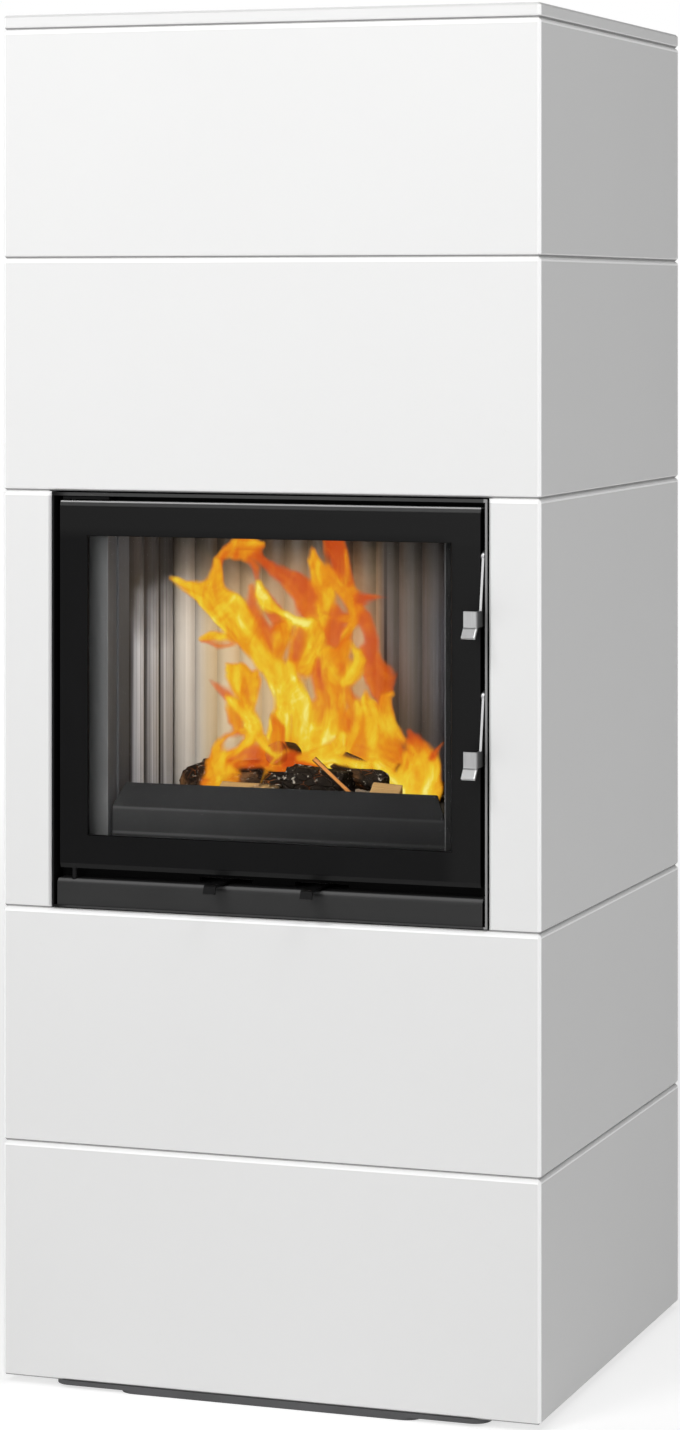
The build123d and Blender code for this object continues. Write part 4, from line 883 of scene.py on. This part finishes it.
# Each log is its name, its start, end and radius in millimetres, its roll in degrees, its flats and its wood.
BILLETS = [
    ("log_left", (-137, -184, 717), (-126, -122, 720), 27, 205, ROUND, "half"),
    ("log_left_behind", (-118, -150, 731), (-8, -176, 728), 20, 60, WEDGE, "half"),
    ("log_rear", (-150, -124, 724), (120, -118, 728), 22, 20, ROUND, "burnt"),
    ("log_front", (-104, -188, 730), (-14, -184, 734), 16, 35, WEDGE, "half"),
    ("log_board", (-86, -240, 724), (-10, -237, 723), 12, 112, HALF, "fresh"),
    ("log_middle", (-4, -214, 731), (72, -220, 727), 24, 35, ROUND, "burnt"),
    ("log_right", (44, -190, 750), (112, -222, 730), 22, 110, WEDGE, "half"),
    ("log_right_front", (108, -240, 729), (144, -236, 727), 13, 116, HALF, "fresh"),
    ("log_right_rear", (60, -126, 727), (172, -150, 726), 22, 75, HALF, "burnt"),
    ("log_upper", (-34, -192, 762), (-12, -132, 752), 15, 15, ROUND, "seasoned"),
]


def swept_billet(name, radius, length, steps, flats, seed):
    """A billet of wood along +Z from the origin: a filled ring, extruded step by step, then split flat."""
    rng = random.Random(seed)
    pick_nothing()
    bpy.ops.mesh.primitive_circle_add(vertices=BILLET_CORNERS, radius=radius, fill_type="NGON")
    piece = started(name)
    bpy.ops.object.mode_set(mode="EDIT")
    for _ in range(steps):
        bpy.ops.mesh.extrude_region_move(TRANSFORM_OT_translate={"value": (0.0, 0.0, length / steps)})
        swell = rng.uniform(0.965, 1.035)
        bpy.ops.transform.resize(value=(swell, rng.uniform(0.97, 1.03), 1.0))
    bpy.ops.mesh.select_all(action="SELECT")
    bpy.ops.mesh.normals_make_consistent(inside=False)
    for angle, depth in flats:
        side = Vector((math.cos(angle), math.sin(angle), 0.0))
        bpy.ops.mesh.select_all(action="SELECT")
        bpy.ops.mesh.bisect(plane_co=side * depth * radius, plane_no=side, use_fill=True, clear_outer=True)
    bpy.ops.object.mode_set(mode="OBJECT")
    roughen(piece, radius, seed)
    return piece


def roughen(piece, radius, seed):
    """Finer faces, then splinters and hollows that run along the grain."""
    apply_modifier(piece, "REMESH", mode="VOXEL", voxel_size=radius * 0.085)
    points = points_of(piece)
    grain = points + np.array((seed * 0.37, seed * 0.11, 0.0))
    keep(piece, "grain", grain, "FLOAT_VECTOR", "vector")
    keep(piece, "reach", np.hypot(points[:, 0], points[:, 1]) / radius)
    moved = points.copy()
    for i, p in enumerate(points):
        out = Vector((p[0], p[1], 0.0))
        reach = out.length or 1.0
        along = Vector((p[0] * 130.0, p[1] * 130.0, p[2] * 14.0 + seed))
        coarse = Vector((p[0] * 30.0, p[1] * 30.0, p[2] * 22.0 + seed))
        push = noise.noise(along) * radius * SPLINTERS + noise.noise(coarse) * radius * HOLLOWS
        moved[i, :2] += np.array(out[:2]) / reach * push
        moved[i, 2] += noise.noise(along * 1.7) * radius * END_GRAIN
    set_points(piece, moved)
    pick_only(piece)
    bpy.ops.object.shade_smooth()


def lay(piece, start, end, roll):
    """Turns the billet so that it runs from start to end, in millimetres, and rolls it on itself."""
    start, end = Vector(start) / 1000, Vector(end) / 1000
    turn = (end - start).to_track_quat("Z", "Y").to_matrix().to_4x4()
    piece.matrix_world = Matrix.Translation(start) @ turn @ Matrix.Rotation(math.radians(roll), 4, "Z")
    settle(piece)


def build_fire():
    woods = {
        "fresh": charred_wood("split_wood", 0.56, 0.72),
        "seasoned": charred_wood("seasoned_wood", 0.60, 0.80, (0.36, 0.17, 0.11)),
        "half": charred_wood("scorched_wood", 0.42, 0.60, (0.16, 0.075, 0.03)),
        "burnt": charred_wood("charred_wood", 0.10, 0.25, (0.10, 0.05, 0.02)),
    }
    for seed, (name, start, end, radius, roll, flats, wood) in enumerate(BILLETS, 3):
        length = (Vector(end) - Vector(start)).length / 1000
        piece = swept_billet(name, radius / 1000, length, BILLET_STEPS, flats, seed)
        lay(piece, start, end, roll)
        dress(piece, woods[wood], "casing")
    ember_stick(charred_wood("glowing_splinter", 0.62, 0.80, (0.60, 0.24, 0.06)))
    ash_bed(wood_ash())
    gas = burning_gas()
    flame_sheet("flames_back", FLAMES_BACK, depth=-0.120, seed=3.0, material=gas)
    flame_sheet("flames_middle", FLAMES_MIDDLE, depth=-0.160, seed=7.0, material=gas)
    flame_sheet("flames_front", FLAMES_FRONT, depth=-0.200, seed=5.0, material=gas)


def ember_stick(material):
    """A thin splinter that leans on the middle log."""
    piece = swept_billet("ember_stick", radius=0.0030, length=0.068, steps=6, flats=((0.5, 0.6),), seed=21)
    lay(piece, start=(89, -252, 721), end=(35, -241, 763), roll=0)
    dress(piece, material, "casing")


def ash_bed(material):
    """A low heap of ash and embers under the logs, with an uneven edge."""
    pick_nothing()
    bpy.ops.mesh.primitive_grid_add(x_subdivisions=120, y_subdivisions=60, size=1.0)
    piece = started("ash_bed")
    flat = points_of(piece)
    x, y = flat[:, 0] * ASH_SHEET[0], ASH_MIDDLE + flat[:, 1] * ASH_SHEET[1]
    rise = np.empty(len(flat))
    for i, (px, py) in enumerate(zip(x, y)):
        edge = 1.0 - (px / ASH_REACH[0]) ** 2 - ((py - ASH_MIDDLE) / ASH_REACH[1]) ** 2
        lumps = noise.noise(Vector((px * 60.0, py * 60.0, 1.0))) * 0.35
        rise[i] = edge + lumps
    height = np.clip(rise, 0.0, None) ** 0.6 * ASH_HEIGHT
    crumbs = np.array([noise.noise(Vector((px * 260.0, py * 260.0, 4.0))) for px, py in zip(x, y)])
    height += np.clip(rise, 0.0, 0.4) * crumbs * ASH_CRUMBS
    set_points(piece, np.column_stack((x, y, HEARTH_TOP + ASH_LIFT + np.clip(height, 0.0, None))))
    trim(piece, rise <= 0.0)
    apply_modifier(piece, "SOLIDIFY", thickness=ASH_SKIN, offset=-1.0)
    bpy.ops.object.shade_smooth()
    dress(piece, material, "casing")


# --- The carried-over steel, cast and glass pieces
def finish_nodes():
    """A finish for each material slot, and for some nodes one of their own."""
    finishes = {
        "bedding": bedding_mortar(),
        "dark_steel": heat_paint("grey_base_steel", 0.09, 0.5),
        "black_sheet": heat_paint("black_sheet", 0.005, 0.36),
        "black_door": door_paint(),
        "bare_steel": brushed_steel("turned_steel", 0.5, (500.0, 500.0, 60.0)),
        "stainless": brushed_steel("stainless", 0.42, (600.0, 600.0, 30.0)),
        "raw_steel": mill_steel("mill_steel", 0.12),
        "galvanised": mill_steel("galvanised", 0.5, (0.97, 0.99, 1.0), 0.5),
        "fibre_seal": braided_fibre(),
        "clear_glass": clear_pane(),
        "lining": storage_stone(),
        "side_plate": satin_plate(),
        "hearth": hearth_clay(),
        "storage": storage_stone(),
    }
    # a lining's crest and valley are its painted lit and shaded colours
    back_valley = BACK_CREST + RIB_RISE
    back = pressed_lining(
        "back_lining", "X", groove=-BACK_HALF, pitch=2 * BACK_HALF / BACK_RIBS,
        smoke=BACK_SMOKE, crest=(0.76, 0.72, 0.66), valley=(0.40, 0.36, 0.31),
        scorched=(0.13, 0.082, 0.042), groove_shade_width=0.10, groove_shade_depth=0.12, contrast=0.55,
    )
    side = pressed_lining(
        "side_lining", "Y", groove=back_valley, pitch=(back_valley - RIBS_FRONT) / SIDE_RIBS,
        smoke=SIDE_SMOKE, crest=(0.86, 0.89, 0.95), valley=(0.11, 0.11, 0.12),
        scorched=(0.050, 0.046, 0.044), groove_shade_width=0.12, groove_shade_depth=0.95, contrast=1.0,
    )
    parts = frame["record"]["subparts"]
    castings = [part["node"] for part in parts if part["material_slot"] == "cast_casing"]
    own_finishes = {node: white_casting(node) for node in castings}
    own_finishes |= {node: lever_steel(node) for node in ("latch_lever_upper", "latch_lever_lower")}
    own_finishes |= {
        "lining_back": back,
        "lining_left": side,
        "lining_right": side,
        "front_flange": flange_steel(),
        "insert_frame": sleeve_paint(),
        "log_guard": guard_paint(),
        "sill_panel": sill_paint(),
        "hinge_pins": heat_paint("pin_black", 0.010, 0.4),
    }
    for part in parts:
        node = part["node"]
        for place in frame["nodes"][node].material_slots:
            place.material = own_finishes.get(node) or finishes[part["material_slot"]]


# --- Studio
def area_light(name, place, aim, size, power):
    data = bpy.data.lights.new(name, "AREA")
    data.size = size
    data.energy = power
    lamp = bpy.data.objects.new(name, data)
    bpy.context.scene.collection.objects.link(lamp)
    lamp.location = place
    lamp.rotation_euler = (Vector(aim) - Vector(place)).to_track_quat("-Z", "Y").to_euler()
    return lamp


def lay_floor():
    """A wide sheet of matt paper that glows more the further away it is."""
    pick_nothing()
    bpy.ops.mesh.primitive_grid_add(x_subdivisions=24, y_subdivisions=24, size=FLOOR_SIZE)
    floor = started("studio_floor")
    paper = Finish("studio_paper")
    mottle = paper.noise(3.0, 2.0)
    paper.give(Base_Color=paper.mix(grey(0.48), grey(0.52), mottle), Roughness=0.9)
    away = paper.node("ShaderNodeVectorMath", {"operation": "LENGTH"}, {0: paper.place}, output="Value")
    glow = paper.mix(grey(FLOOR_GLOW_NEAR), grey(FLOOR_GLOW_FAR), away.step(*FLOOR_GLOW_REACH))
    paper.give(Emission_Color=glow, Emission_Strength=1.0)
    floor.data.materials.append(paper.material)


def light_sky():
    """White behind the stove, dim as a light, and dimmer still where something glossy mirrors it."""
    world = bpy.data.worlds.new("studio")
    bpy.context.scene.world = world
    world.use_nodes = True
    tree = world.node_tree
    sky = tree.nodes["Background"]
    path = tree.nodes.new("ShaderNodeLightPath")
    gloss = tree.nodes.new("ShaderNodeMapRange")
    gloss.inputs[3].default_value = SKY_LIGHT
    gloss.inputs[4].default_value = SKY_GLOSS
    seen = tree.nodes.new("ShaderNodeMapRange")
    seen.inputs[4].default_value = SKY_SEEN
    tree.links.new(path.outputs["Is Glossy Ray"], gloss.inputs[0])
    tree.links.new(gloss.outputs[0], seen.inputs[3])
    tree.links.new(path.outputs["Is Camera Ray"], seen.inputs[0])
    tree.links.new(seen.outputs[0], sky.inputs["Strength"])
    sky.inputs["Color"].default_value = (1.0, 1.0, 1.0, 1.0)


def hang_lamps():
    area_light("key", KEY_PLACE, LAMP_AIM, KEY_SIZE, KEY_POWER)
    area_light("top", TOP_PLACE, LAMP_AIM, TOP_SIZE, TOP_POWER)
    area_light("overhead", OVERHEAD_PLACE, OVERHEAD_AIM, OVERHEAD_SIZE, OVERHEAD_POWER)
    chamber = area_light("chamber", CHAMBER_PLACE, CHAMBER_AIM, CHAMBER_SIZE, CHAMBER_POWER)
    chamber.data.color = CHAMBER_COLOUR
    chamber.visible_camera = False
    chamber.visible_glossy = False


def build_camera():
    data = bpy.data.cameras.new("camera")
    data.lens = CAMERA_LENS
    data.shift_y = CAMERA_SHIFT
    camera = bpy.data.objects.new("camera", data)
    bpy.context.scene.collection.objects.link(camera)
    camera.location = CAMERA_PLACE
    camera.rotation_euler = (math.radians(90.0), 0.0, math.radians(CAMERA_TURN))
    bpy.context.scene.camera = camera
    bpy.context.scene.view_settings.view_transform = "Standard"


build_camera()
lay_floor()
light_sky()
hang_lamps()
finish_nodes()
build_fire()
pick_nothing()
